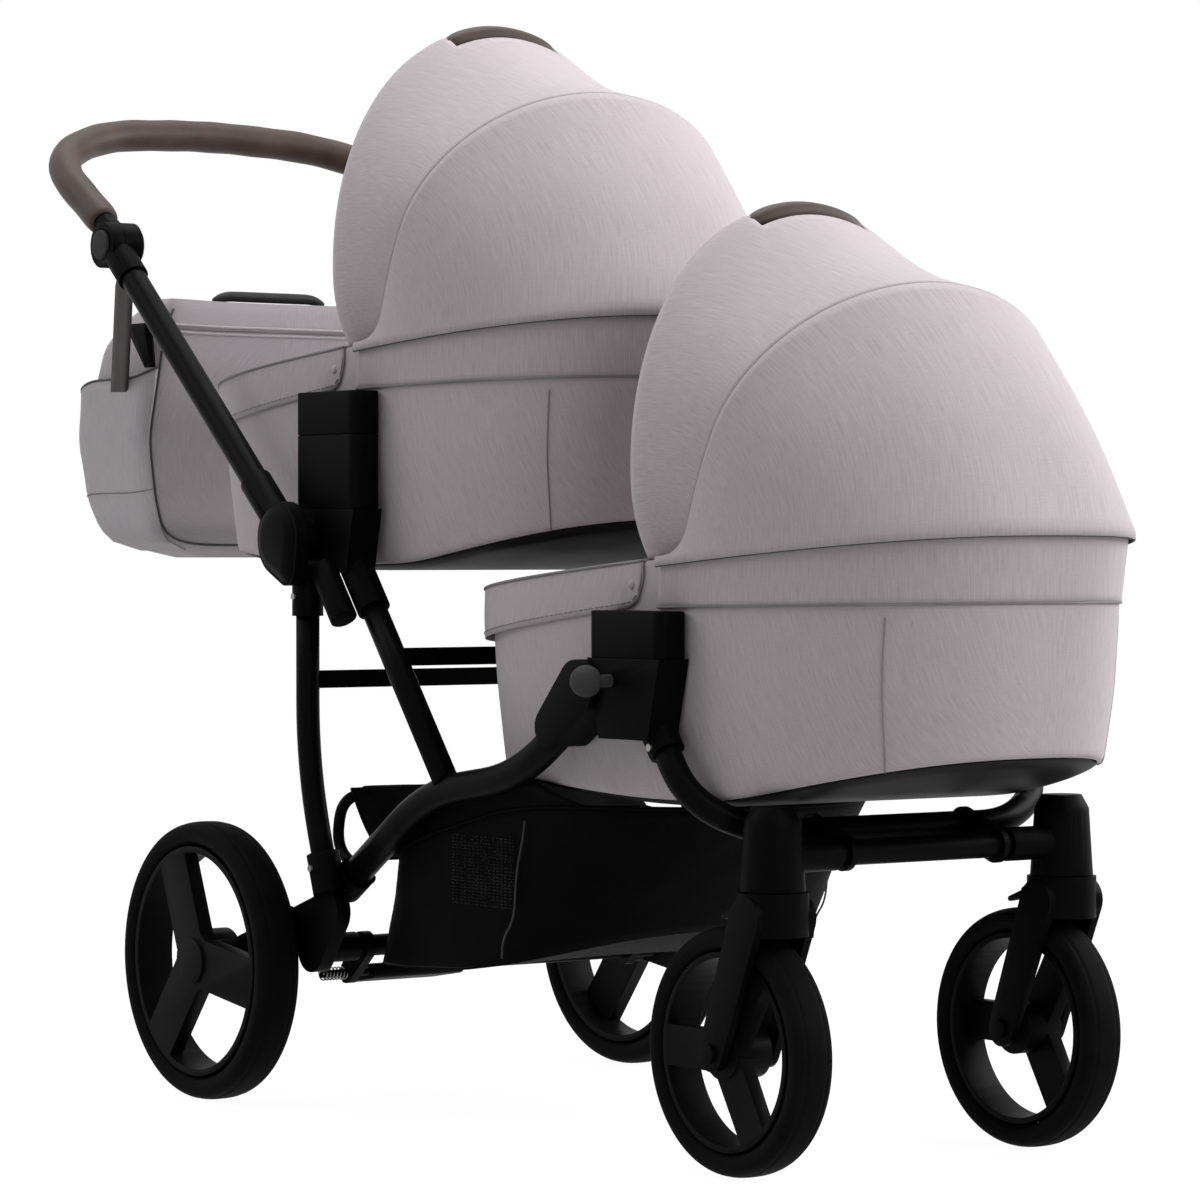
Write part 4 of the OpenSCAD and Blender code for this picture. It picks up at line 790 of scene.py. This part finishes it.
class Cot:
    """The soft parts of one carrycot, built about its hood pivot."""

    def __init__(self, name, pivot):
        self.name, self.pivot = name, pivot
        self.cot, self.mid, self.main = name + "_cot", name + "_mid", name + "_main"

    def put(self, points):
        return [p + self.pivot for p in points]

    def sheet(self, name, rows, material, body, slot="heather_cloth", closed=False):
        return sheet(f"{self.name}_{name}", [self.put(row) for row in rows], material, body, closed)

    def line(self, name, points, radius, material, body, slot="heather_cloth", sides=8, closed=False):
        return pipe(f"{self.name}_{name}", self.put(points), radius, material, body, sides, closed)

    def dress(self):
        self.tub()
        self.apron()
        self.hood()
        self.inside()
        softened(f"{self.name}_cot_brackets", HOUSING, 2.0 * MM)

    def tub(self):
        turns = even_turns(0, 360, 161)
        skin = self.sheet("tub_cloth", tub_side(turns, 0), CLOTH, self.cot)
        weld(skin)
        thicken(skin, 2.0 * MM)
        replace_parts(skin, f"{self.name}_cot_tub")
        inner = self.sheet("tub_lining", tub_side(turns, 6)[::-1], LINING, self.cot, "lining")
        weld(inner)
        rim = [Vector((*plan(t, 3 * MM, 3 * MM), rim_z(plan(t)[0]) - 0.5 * MM)) for t in turns[:-1]]
        self.line("rim_roll", rim, 3.2 * MM, CLOTH, self.cot, closed=True, sides=10)
        tray = [tub_ring(turns, 62, 50, -203.8, rock=1), tub_ring(turns, 44, 32, -203.4, rock=1),
                tub_ring(turns, 33, 21, -200, rock=1), tub_ring(turns, 31, 19, -198, rock=1),
                tub_ring(turns, 40, 30, -197.9, rock=1)]
        tray = rounded_rows(tray, 1)
        verts, faces, uvs = grid([self.put(row) for row in tray])
        count = len(turns)
        for i in range((count - 1) // 2):
            faces.append((i + 1, i, count - 1 - i, count - 2 - i))
        made = piece(f"{self.name}_tray_shell", verts, faces, TRAY, self.cot, uvs, sharp=60)
        weld(made)
        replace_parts(made, f"{self.name}_cot_tray")
        for turn, side in ((-38, "right"), (38, "left")):
            seam = [row[0] for row in tub_side([turn], -0.6)]
            seam = [p for p in seam if p.z < -20 * MM]
            self.line(f"tub_seam_{side}", seam, 0.7 * MM, SEAM, self.cot)

    def apron(self):
        start = math.degrees(math.acos(((APRON_BACK - COT_MID) / COT_HALF_L) ** (COT_POWER / 2)))
        turns = even_turns(start, 360 - start, 141)
        out = 2.6 * MM

        def low(x):
            end = max(0.0, 1 - (APRON_BACK - x) / (24 * MM))
            return -13.5 * MM + 0.107 * x + 26 * MM * (1 - math.sqrt(max(0.0, 1 - end * end)))

        band = []
        for k in range(9):
            t = k / 8
            row = []
            for turn in turns:
                swell = -out - 0.6 * MM * math.sin(math.pi * t)
                x, y = plan(turn, swell, swell)
                row.append(Vector((x, y, mix(low(x), rim_z(x) + 2.5 * MM, t))))
            band.append(row)
        band = self.sheet("apron_band", band, CLOTH, self.cot)
        thicken(band, 1.8 * MM)
        half = [t for t in turns if t <= 180]
        rows = []
        for turn in half:
            x, w = plan(turn, -out, -out)
            fade = math.sqrt(max(0.0, 1 - ((x - COT_MID) / (COT_HALF_L + out)) ** 2))
            row = []
            for k in range(33):
                v = -1 + k / 16
                z = rim_z(x) + 2.5 * MM + 9 * MM * (1 - v * v) * fade
                z += 1.6 * MM * ripple(Vector((x, v * w, 0)), 16, 3.0) * (1 - v ** 4)
                row.append(Vector((x, v * abs(w), z)))
            rows.append(row)
        top = self.sheet("apron_top", rows, CLOTH, self.cot)
        thicken(top, 2.0 * MM, 1.0)
        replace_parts(top, f"{self.name}_apron")
        edge = [Vector((*plan(t, -out, -out), rim_z(plan(t, -out)[0]) + 3 * MM)) for t in turns]
        self.line("apron_piping", edge, 1.5 * MM, SEAM, self.cot)
        over = -out - 0.9 * MM
        hem = [Vector((*plan(t, over, over), low(plan(t, -out)[0]) + 5 * MM))
               for t in even_turns(start, 360 - start, 360)]
        stitched(f"{self.name}_apron_stitches", self.put(hem), SEAM, self.cot, 0.45)
        for sign, side in SIDES:
            stud = [Vector((-34 * MM, sign * (COT_HALF_W + d * MM), 4 * MM)) for d in (1.5, 4.2, 5.2)]
            self.line(f"apron_stud_{side}", stud, lambda s: (5.5 - 2.5 * s) * MM, CLOTH, self.cot, sides=20)

    def hood(self):
        columns = 121
        main = arch_line(MAIN_BOW, 0, columns)
        mid = arch_line(MID_BOW, 8.6 * MM, columns)
        lean = MAIN_BOW[-1]
        back = Vector((math.cos(lean), 0, -math.sin(lean)))
        centre = Vector((60 * MM, 0, 110 * MM))
        outward = [(o - m).normalized() for o, m in zip(arch_line(MAIN_BOW, 10 * MM, columns), main)]
        hem = ((-8, 14), (-8, 0), (-6.4, -10), (-2, -16.5), (4, -19), (8, -18), (9, -10), (9, 0))
        rows = [[m + o * out * MM + back * aft * MM for m, o in zip(main, outward)] for out, aft in hem]
        steps = 22
        for j in range(1, steps + 1):
            f = j / steps
            row = []
            for i in range(columns):
                p = mix(main[i] + outward[i] * 9 * MM, mid[i], f)
                side = math.sin(math.pi * i / (columns - 1))
                p = p - Vector((0, 0, 13 * MM * math.sin(math.pi * f) * side ** 2))
                p = p + outward[i] * (1.3 * MM * ripple(p, 11, 5.0) * math.sin(math.pi * f))
                row.append(p)
            rows.append(row)
        crown = self.sheet("hood_crown_cloth", rows, CLOTH, None)
        self.cut_for_handle(crown)
        thicken(crown, 1.8 * MM)
        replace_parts(crown, f"{self.name}_hood_crown")
        seam = [p + (p - centre).normalized() * 0.6 * MM for p in mid]
        self.line("hood_seam", seam, 1.2 * MM, SEAM, self.mid)
        edge = [m + o * 9.3 * MM - back * 1.5 * MM for m, o in zip(main, outward)]
        halves = [p for p in edge if p.y < -72 * MM], [p for p in edge if p.y > 72 * MM]
        for side, line in zip(("right", "left"), halves):
            self.line(f"hood_edge_seam_{side}", line, 0.7 * MM, SEAM, self.main)
        end, hem = self.hood_end(columns, mid)
        mid_normal = Vector((math.cos(MID_BOW[-1]), 0, -math.sin(MID_BOW[-1])))
        tuple(self.pivot)
        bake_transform(crown)
        for made in (end, hem):
            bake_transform(made)
        self.bow("main_bow", MAIN_BOW, self.main)
        self.bow("mid_bow", MID_BOW, self.mid)
        held = [p for p in arch_line(MAIN_BOW, 0, 601) if abs(p.y) < 66 * MM]
        held = [p + Vector((0, 0, 1.5 * MM)) for p in held]
        grip = self.line("leather_handle", held, rounded_ends(11.5, 3.5), LEATHER, self.main, "leather", 28)
        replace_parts(grip, f"{self.name}_carry_handle")

    def bow(self, name, spec, body):
        foot_y, lean = spec[1], spec[-1]
        tip = Vector((math.sin(lean), 0, math.cos(lean))) * 10.3 * MM
        path = [arch(k / 90, spec, 0) for k in range(91)]
        ends = [tip + Vector((0, -foot_y, 0))] + path + [tip + Vector((0, foot_y, 0))]
        tube = self.line(name + "_round", ends, 6 * MM, BOW, body, "bow_plastic", 16)
        eyes = []
        for sign in (-1, 1):
            across = [Vector((0, sign * foot_y + y * MM, 0)) for y in (-6, -5.4, 5.4, 6)]
            radius = stepped(9.4, 10, 10, 9.4)
            eyes.append(self.line(f"{name}_eye_{sign}", across, radius, BOW, body, "bow_plastic", 24))
        made = joined(f"{self.name}_{name}_round", [tube] + eyes)
        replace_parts(made, f"{self.name}_{name}")

    def cut_for_handle(self, crown):
        """Leaves the leather handle bare where it passes through the hood's front edge."""
        work = bmesh.new()
        work.from_mesh(crown.data)
        lean = MAIN_BOW[-1]
        bow_line = Vector((math.sin(lean), 0, math.cos(lean))) * MAIN_BOW[3] + self.pivot
        away = Vector((math.cos(lean), 0, -math.sin(lean)))
        gone = []
        for face in work.faces:
            middle = face.calc_center_median()
            behind = (middle - bow_line).dot(away)
            if middle.z > bow_line.z - 30 * MM and abs(middle.y) < 68 * MM and behind < 13 * MM:
                gone.append(face)
        bmesh.ops.delete(work, geom=gone, context="FACES")
        work.to_mesh(crown.data)
        work.free()

    def hood_end(self, columns, mid):
        turns = even_turns(-HEAD_TURN, HEAD_TURN, columns)
        middle = Vector((90 * MM, 0, 40 * MM))

        def rim(turn, out, z):
            x, y = plan(turn, -out, -out)
            return Vector((x, y, rim_z(x) + z))

        steps, rows = 26, []
        for j in range(steps + 1):
            f = j / steps
            row = []
            for i, turn in enumerate(turns):
                side = math.sin(math.pi * i / (columns - 1))
                p = mix(mid[i], rim(turn, 6 * MM, 3 * MM), f)
                swell = 7 * MM * side + 1.4 * MM * ripple(p, 9, 1.0)
                row.append(p + (p - middle).normalized() * (swell * math.sin(math.pi * f)))
            rows.append(row)
        rows.append([rim(turn, 6.4 * MM, -4.4 * MM) for turn in turns])
        end = self.sheet("hood_end_cloth", rows, CLOTH, None)
        thicken(end, 1.8 * MM)
        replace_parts(end, f"{self.name}_hood_end")
        # Painted shadow: the hem line is charcoal to stand for the shadow under the hood's lifted hem flap.
        hem = self.line("hood_hem_shadow_line", [rim(turn, 6.2 * MM, -4 * MM) for turn in turns], 1.3 * MM, PIPING_AND_HEM_SHADOW, None)
        low, flare = -18 * MM, 12 * MM
        cuff_rows = []
        for k in range(8):
            t = k / 7
            row = []
            for turn in turns:
                x, y = plan(turn, flare * (1 - t) - 2.2 * MM, -2.2 * MM)
                row.append(Vector((x, y, mix(low + 0.018 * x, rim_z(x) + 2 * MM, t))))
            cuff_rows.append(row)
        cuff = self.sheet("hood_cuff", cuff_rows, CLOTH, self.cot)
        thicken(cuff, 1.6 * MM)
        lower = [p + Vector((0, 0, 1 * MM)) for p in cuff_rows[0]]
        self.line("cuff_piping", lower, 1.2 * MM, SEAM, self.cot)
        return end, hem

    def inside(self):
        turns = even_turns(0, 360, 97)[:-1]
        base = TUB_LOW + 6.4 * MM
        rows = []
        for inset, height, crown in ((52, 0, 0), (42, 4, 0), (38, 14, 0), (38, 28, 0), (41, 38, 0),
                                     (48, 43, 0), (64, 45, 4), (88, 45, 9), (114, 45, 13), (144, 45, 15)):
            row = []
            for turn in turns:
                x, y = plan(turn, (inset + 12) * MM, inset * MM)
                z = base + rocker(x) + (height + crown) * MM * 0.95
                if height > 20:
                    z += 1.5 * MM * math.cos(x * 2 * math.pi / 0.055) * math.cos(y * 2 * math.pi / 0.055)
                row.append(Vector((x, y, z)))
            rows.append(row)
        verts, faces, uvs = grid([self.put(row) for row in rows], closed=True)
        count = len(turns)
        centre = len(verts)
        verts.append(self.pivot + Vector((COT_MID, 0, base + 58 * MM)))
        uvs.append((0, 0))
        last = (len(rows) - 1) * count
        faces += [(last + k, last + (k + 1) % count, centre) for k in range(count)]
        faces.append(tuple(reversed(range(count))))
        pad = piece(f"{self.name}_mattress_pad", verts, faces, LINING, self.cot, uvs)
        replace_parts(pad, f"{self.name}_mattress")


# Basket
BASKET_HALF_W, ON_BASKET = 193.6, 194.8
# Rear and front ends of the base and of the rim, and how far both rise between them
BASE_X, BASE_Z, BASE_RISE = (186, 510), 152, 46
RIM_X, RIM_Z, RIM_RISE = (214, 620), (262, 325), 24
SIDE_TUBE_LINE = ((176, 236), (300, 318), (345, 337), (450, 350), (478, 352))
SIDE_PIPING = ((462, 311), (460, 296), (447, 258), (445, 215), (425, 194), (423, 174))
WINDOW_X, WINDOW_Z, WINDOW_L, WINDOW_H = 337, 223, 106, 69


def basket_point(turn, level):
    """A point of the basket's wall, from its base (0) to its rim (1)."""
    ox, oy = superellipse(turn, 2.4 if math.cos(math.radians(turn)) > 0 else 12)
    s = (1 + ox) / 2
    x = mix(mix(*BASE_X, s), mix(*RIM_X, s), level)
    z = mix(BASE_Z + BASE_RISE * s ** 3, mix(*RIM_Z, s) + RIM_RISE * math.sin(math.pi * s), level)
    p = Vector((x * MM, oy * BASKET_HALF_W * MM, z * MM))
    slack = math.sin(math.pi * min(1, level))
    inward = -(1.2 + 3.4 * abs(ripple(p, 14, 2.0)) + 1.5 * abs(ripple(p, 33, 5.0))) * slack
    return at(x + inward * ox, (BASKET_HALF_W + inward) * oy, z)


def side_tube_z(x):
    """Height of the lower side tube's middle line."""
    for (x0, z0), (x1, z1) in zip(SIDE_TUBE_LINE, SIDE_TUBE_LINE[1:]):
        if x <= x1:
            return mix(z0, z1, (x - x0) / (x1 - x0))
    return SIDE_TUBE_LINE[-1][1]


def basket_cloth(name, rows, thickness=2.0, material=BASKET_CLOTH):
    made = sheet(name, rows, material, "chassis")
    weld(made)
    return thicken(made, thickness * MM, 0.0)


def dress_basket():
    rings = [even([basket_point(2 * k, j / 16) for k in range(181)], 181) for j in range(17)]
    wall = basket_cloth("basket_wall", rings)
    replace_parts(wall, "basket")
    base, half = rings[0], 90
    floor_rows = []
    for i in range(half + 1):
        dip = Vector((0, 0, 5 * MM * math.sin(math.pi * i / half)))
        ends = base[i], base[180 - i]
        floor_rows.append([mix(*ends, k / 16) + dip * math.sin(math.pi * k / 16) for k in range(17)])
    basket_cloth("basket_floor", floor_rows)

    def line(name, path, radius, material, closed=False):
        pipe(name, path, radius * MM, material, "chassis", 8, closed)

    line("basket_binding", rings[-1][:-1], 2.0, BASKET_CLOTH, True)
    line("basket_base_piping", [p + Vector((0, 0, 1.5 * MM)) for p in base[:-1]], 1.0, THREAD, True)
    sleeve = even([at(122, 160 - 320 * k / 40, 320) for k in range(41)], 61)
    sleeve = [p + Vector((0, 0, 1.5 * MM * ripple(p, 30, 1.0))) for p in sleeve]
    line("basket_hoop_sleeve", sleeve, 8.5, BASKET_CLOTH)
    flap_rows = []
    for j in range(19):
        t = j / 18
        row = []
        for k in range(81):
            s = 2 * k / 80 - 1
            p = at(mix(124, 214, t), mix(178, 191, t) * s, mix(327, 259, t))
            fold = 7 * ripple(Vector((p.x * 0.35, p.y, p.z * 0.35)), 22, 7.0) * math.sin(math.pi * t)
            row.append(p + Vector((0.3 * fold, 0, fold - 9 * math.sin(math.pi * t))) * MM)
        flap_rows.append(row)
    basket_cloth("basket_rear_flap", flap_rows)
    for sign, side in SIDES:
        rows = [[] for _ in range(5)]
        for k in range(61):
            low = basket_point(sign * mix(136, 60, k / 60), 0.95)
            x = (low.x - REAR_AXLE) / MM
            past = min(1, max(0, (x - SIDE_TUBE_LINE[-1][0]) / 50))
            high = at(x, sign * 196.4, side_tube_z(x))
            high = mix(high, basket_point(sign * mix(136, 60, k / 60), 1.0), past)
            for j, row in enumerate(rows):
                slack = Vector((0, -sign * (1.5 + 3 * abs(ripple(low, 40, 3.0 + j))), 0)) * MM
                row.append(mix(low, high, j / 4) + slack * math.sin(math.pi * j / 4))
        basket_cloth(f"basket_flap_{side}", rows)
        knots = [[at(x, sign * ON_BASKET, z)] for x, z in SIDE_PIPING]
        strip = [p for (p,) in rounded_rows(knots, 3)]
        line(f"basket_side_piping_{side}", strip, 1.0, THREAD)
        corner = [basket_point(sign * 135, 0.02 + 0.84 * k / 20) for k in range(21)]
        line(f"basket_edge_piping_{side}", corner, 1.0, THREAD)
        net_rows = [[at(WINDOW_X + WINDOW_L * k / 12, sign * ON_BASKET, WINDOW_Z + WINDOW_H * j / 12)
                     for k in range(13)] for j in range(13)]
        basket_cloth(f"basket_window_{side}", net_rows, 0.8, NET)


# Changing bag
BAG_X, BAG_LOW, BAG_H, BAG_LEAN, BAG_HALF_T, BAG_HALF_W = -401, 565, 290, 76, 75, 164
# Levels up the bag, each with the shares of its depth, width and forward lean there
BAG_SECTIONS = ((0, 0.45, 0.5, 0.42), (0.03, 0.65, 0.72, 0.42), (0.06, 0.8, 0.9, 0.4),
                (0.115, 0.9, 0.98, 0.37), (0.23, 1, 1, 0.17), (0.46, 1, 1, 0), (0.66, 0.95, 1, 0.27),
                (0.82, 0.9, 0.98, 0.42), (0.91, 0.69, 0.95, 0.67), (0.97, 0.45, 0.9, 0.9),
                (1, 0.33, 0.86, 1))
BAG_HANDLE_HALF_L, BAG_HANDLE_IN, BAG_HANDLE_RISE = 73, 13, 6
STRAP_ROUTE = ((-214, 248, 874), (-226, 245, 864), (-372, 168.5, 748))


def bag_section(level):
    """Depth, width and forward lean of the bag at a level, eased between its sections."""
    for low, high in zip(BAG_SECTIONS, BAG_SECTIONS[1:]):
        if level <= high[0]:
            t = (level - low[0]) / (high[0] - low[0])
            return [mix(a, b, t) for a, b in zip(low[1:], high[1:])]
    return BAG_SECTIONS[-1][1:]


def bag_point(turn, level, out=0.0):
    """A point of the bag's skin: it swells low down and leans forward to the zip."""
    ox, oy = superellipse(turn, 9)
    spread = 0.05 * math.sin(math.pi * min(1, max(0, level)))
    near = [bag_section(min(1, max(0, level + d * spread))) for d in (-1, -0.5, 0, 0.5, 1)]
    depth, width, lean = (sum(values) / 5 for values in zip(*near))
    x = BAG_X + BAG_LEAN * lean + ox * (BAG_HALF_T * depth + out)
    y = oy * (BAG_HALF_W * width + out)
    z = BAG_LOW + BAG_H * level
    p = Vector((x * MM, y * MM, z * MM))
    drift = 1.8 * ripple(p, 9, 4.0) * math.sin(math.pi * min(1, level))
    return at(x + ox * drift, y + oy * drift, z - 3.0 * math.sin(math.pi * (oy + 1) / 2) * level)


def bag_line(knots, out, count=120):
    """A line on the bag through turns and levels, its corners cut round."""
    rows = rounded_rows([[Vector((turn, level, 0))] for turn, level in knots], 3)
    return even([bag_point(p.x % 360, p.y, out) for (p,) in rows], count)


def dress_bag():
    turns = [360 * k / 160 for k in range(161)]
    levels = [(1 - math.cos(math.pi * k / 44)) / 2 for k in range(45)]
    rows = [even([bag_point(t, level) for t in turns], 161) for level in levels]
    verts, faces, uvs = grid(rows)
    count = len(turns)
    faces.append(tuple(reversed(range(count - 1))))
    faces.append(tuple(range((len(rows) - 1) * count, len(rows) * count - 1)))
    body = piece("bag_shell", verts, faces, BAG_CLOTH, "pusher", uvs, sharp=60)
    weld(body)
    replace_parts(body, "bag_body")
    parts = [body]

    def line(name, knots, out, radius, material):
        parts.append(pipe(name, bag_line(knots, out), radius * MM, material, "pusher", 8))

    for name, first, last in (("bag_front_piping", 314, 406), ("bag_back_piping", 134, 226)):
        down = [(first, 0.96), (first, 0.5), (first, 0.16), (first + 6, 0.075), ((first + last) / 2, 0.04)]
        up = [(first + last - turn, level) for turn, level in down[-2::-1]]
        line(name, down + up, 0.6, 1.4, PIPING_AND_HEM_SHADOW)
    for k, level in enumerate((0.872, 0.9)):
        line(f"bag_zip_welt_{k}", [(316, level), (360, level), (404, level)], 0.5, 1.7, BAG_CLOTH)
    line("bag_zip", [(316, 0.886), (360, 0.886), (404, 0.886)], 0.2, 1.0, SEAM)
    for sign, side in SIDES:
        parts += bag_side(sign, side, line)
    top_x, top_z = BAG_X + BAG_LEAN, BAG_LOW + BAG_H
    half = [at(top_x, -BAG_HANDLE_HALF_L, top_z),
            at(top_x, BAG_HANDLE_IN - BAG_HANDLE_HALF_L, top_z + BAG_HANDLE_RISE)]
    arc = even(eased(half + flipped(half)[::-1], 0.012), 61)
    parts.append(pipe("bag_handle", arc, rounded_ends(6, 3), BLACK_LEATHER, "pusher", 16))
    outward = Vector((-0.749, 0, 0.663))
    hold = at(FOLD_X, 0, FOLD_Z) + outward * 0.70
    for made in parts:
        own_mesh(made)


def bag_side(sign, side, line):
    """A gusset's open pocket with its bound edge, the strap behind it and a clip."""
    def around(t):
        return (sign * (-mix(203, 313, t))) % 360

    def pocket(t, height):
        level = mix(0.03, mix(0.625, 0.735, t), height)
        return bag_point(around(t), level, 2.2 + mix(14, 2.5, t) * height ** 3)

    rows = [even([pocket(k / 60, j / 18) for k in range(61)], 61) for j in range(19)]
    cloth = sheet(f"bag_pocket_{side}", rows, BAG_CLOTH, "pusher")
    thicken(cloth, 2.0 * MM, 0.0)
    edge = pipe(f"bag_pocket_edge_{side}", rows[-1], 1.7 * MM, PIPING_AND_HEM_SHADOW, "pusher", 8)
    sewn = [p + Vector((0, sign * 1.2 * MM, 0)) for p in rows[6]]
    seam = pipe(f"bag_pocket_seam_{side}", sewn, 0.7 * MM, SEAM, "pusher", 8)
    fall = [Vector((x, sign * y, z)) for x, y, z in STRAP_ROUTE]
    rows = []
    for p in even(fall, 25):
        rows.append([at(p.x + w, p.y, p.z) for w in (-18, -9, 0, 9, 18)])
    strap = sheet(f"bag_strap_{side}", rows, STRAP_LEATHER, "pusher")
    thicken(strap, 3.0 * MM, 0.0)
    if side == "right":
        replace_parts(strap, "bag_straps")
    rows = []
    for k in range(9):
        t = k / 8
        left, right = mix(-338, -308, t), mix(-286, -292, t)
        y, z = sign * mix(178, 170, t), mix(826, 777, t)
        rows.append([at(mix(left, right, m / 4), y, z) for m in range(5)])
    clip = sheet(f"bag_clip_{side}", rows, HOUSING, "pusher")
    thicken(clip, 5.0 * MM, 0.0)
    return [cloth, edge, seam, strap, clip]


# Studio
def in_view(home):
    """1 for rays that show the studio itself, straight, in a reflection or through glass."""
    rays = home.add("ShaderNodeLightPath")
    return rays["Is Camera Ray"].larger(rays["Is Glossy Ray"]).larger(rays["Is Transmission Ray"])


def studio():
    floor_mesh = bpy.data.meshes.new("studio_floor")
    floor_mesh.from_pydata([(-14, -14, 0), (14, -14, 0), (14, 14, 0), (-14, 14, 0)], [], [(0, 1, 2, 3)])
    floor = bpy.data.objects.new("studio_floor", floor_mesh)
    scene.collection.objects.link(floor)
    paper = Finish("studio_paper", roughness=0.9)
    paper.set("Base Color", (0.55, 0.55, 0.55, 1))
    glow = paper.add("ShaderNodeEmission", {}, {"Color": (1, 1, 1, 1), "Strength": 1.12})
    blend = {0: in_view(paper) * 0.86, 1: paper.bsdf["BSDF"], 2: glow["Emission"]}
    both = paper.add("ShaderNodeMixShader", {}, blend)
    paper.tree.links.new(both["Shader"].socket, paper.out.node.inputs["Surface"])
    floor_mesh.materials.append(paper.material)

    world = bpy.data.worlds.new("studio_world")
    scene.world = world
    world.use_nodes = True
    backdrop = Nodes(world.node_tree)
    levels = {"Value": in_view(backdrop), "To Min": 0.34, "To Max": 1.0}
    strength = backdrop.add("ShaderNodeMapRange", {}, levels)["Result"]
    light = backdrop.add("ShaderNodeBackground", {}, {"Color": (1, 1, 1, 1), "Strength": strength})
    backdrop.add("ShaderNodeOutputWorld", {}, {"Surface": light["Background"]})

    def softbox(name, place, target, size, watts):
        data = bpy.data.lights.new(name, "AREA")
        data.shape, data.size, data.size_y, data.energy = "RECTANGLE", size[0], size[1], watts
        lamp = bpy.data.objects.new(name, data)
        lamp.location = place
        lamp.rotation_euler = (Vector(target) - Vector(place)).to_track_quat("-Z", "Y").to_euler()
        scene.collection.objects.link(lamp)

    softbox("key_box", (-1.5, -2.6, 3.1), (-0.1, 0, 0.8), (2.4, 2.2), 36)
    softbox("front_box", (3.6, 0.9, 2.8), (0.2, 0, 0.7), (2.4, 2.2), 68)
    softbox("left_box", (1.0, 2.9, 1.9), (-0.4, 0, 0.8), (2.0, 1.8), 85)
    softbox("top_box", (-0.4, 0.3, 3.8), (0, 0, 0.5), (2.6, 2.6), 78)
    scene.view_settings.view_transform = "Standard"


place_camera()
dress_chassis()
dress_wheels()
dress_pusher()
for cot_name, pivot_at in COT_PIVOTS.items():
    Cot(cot_name, at(*pivot_at)).dress()
dress_basket()
dress_bag()
studio()
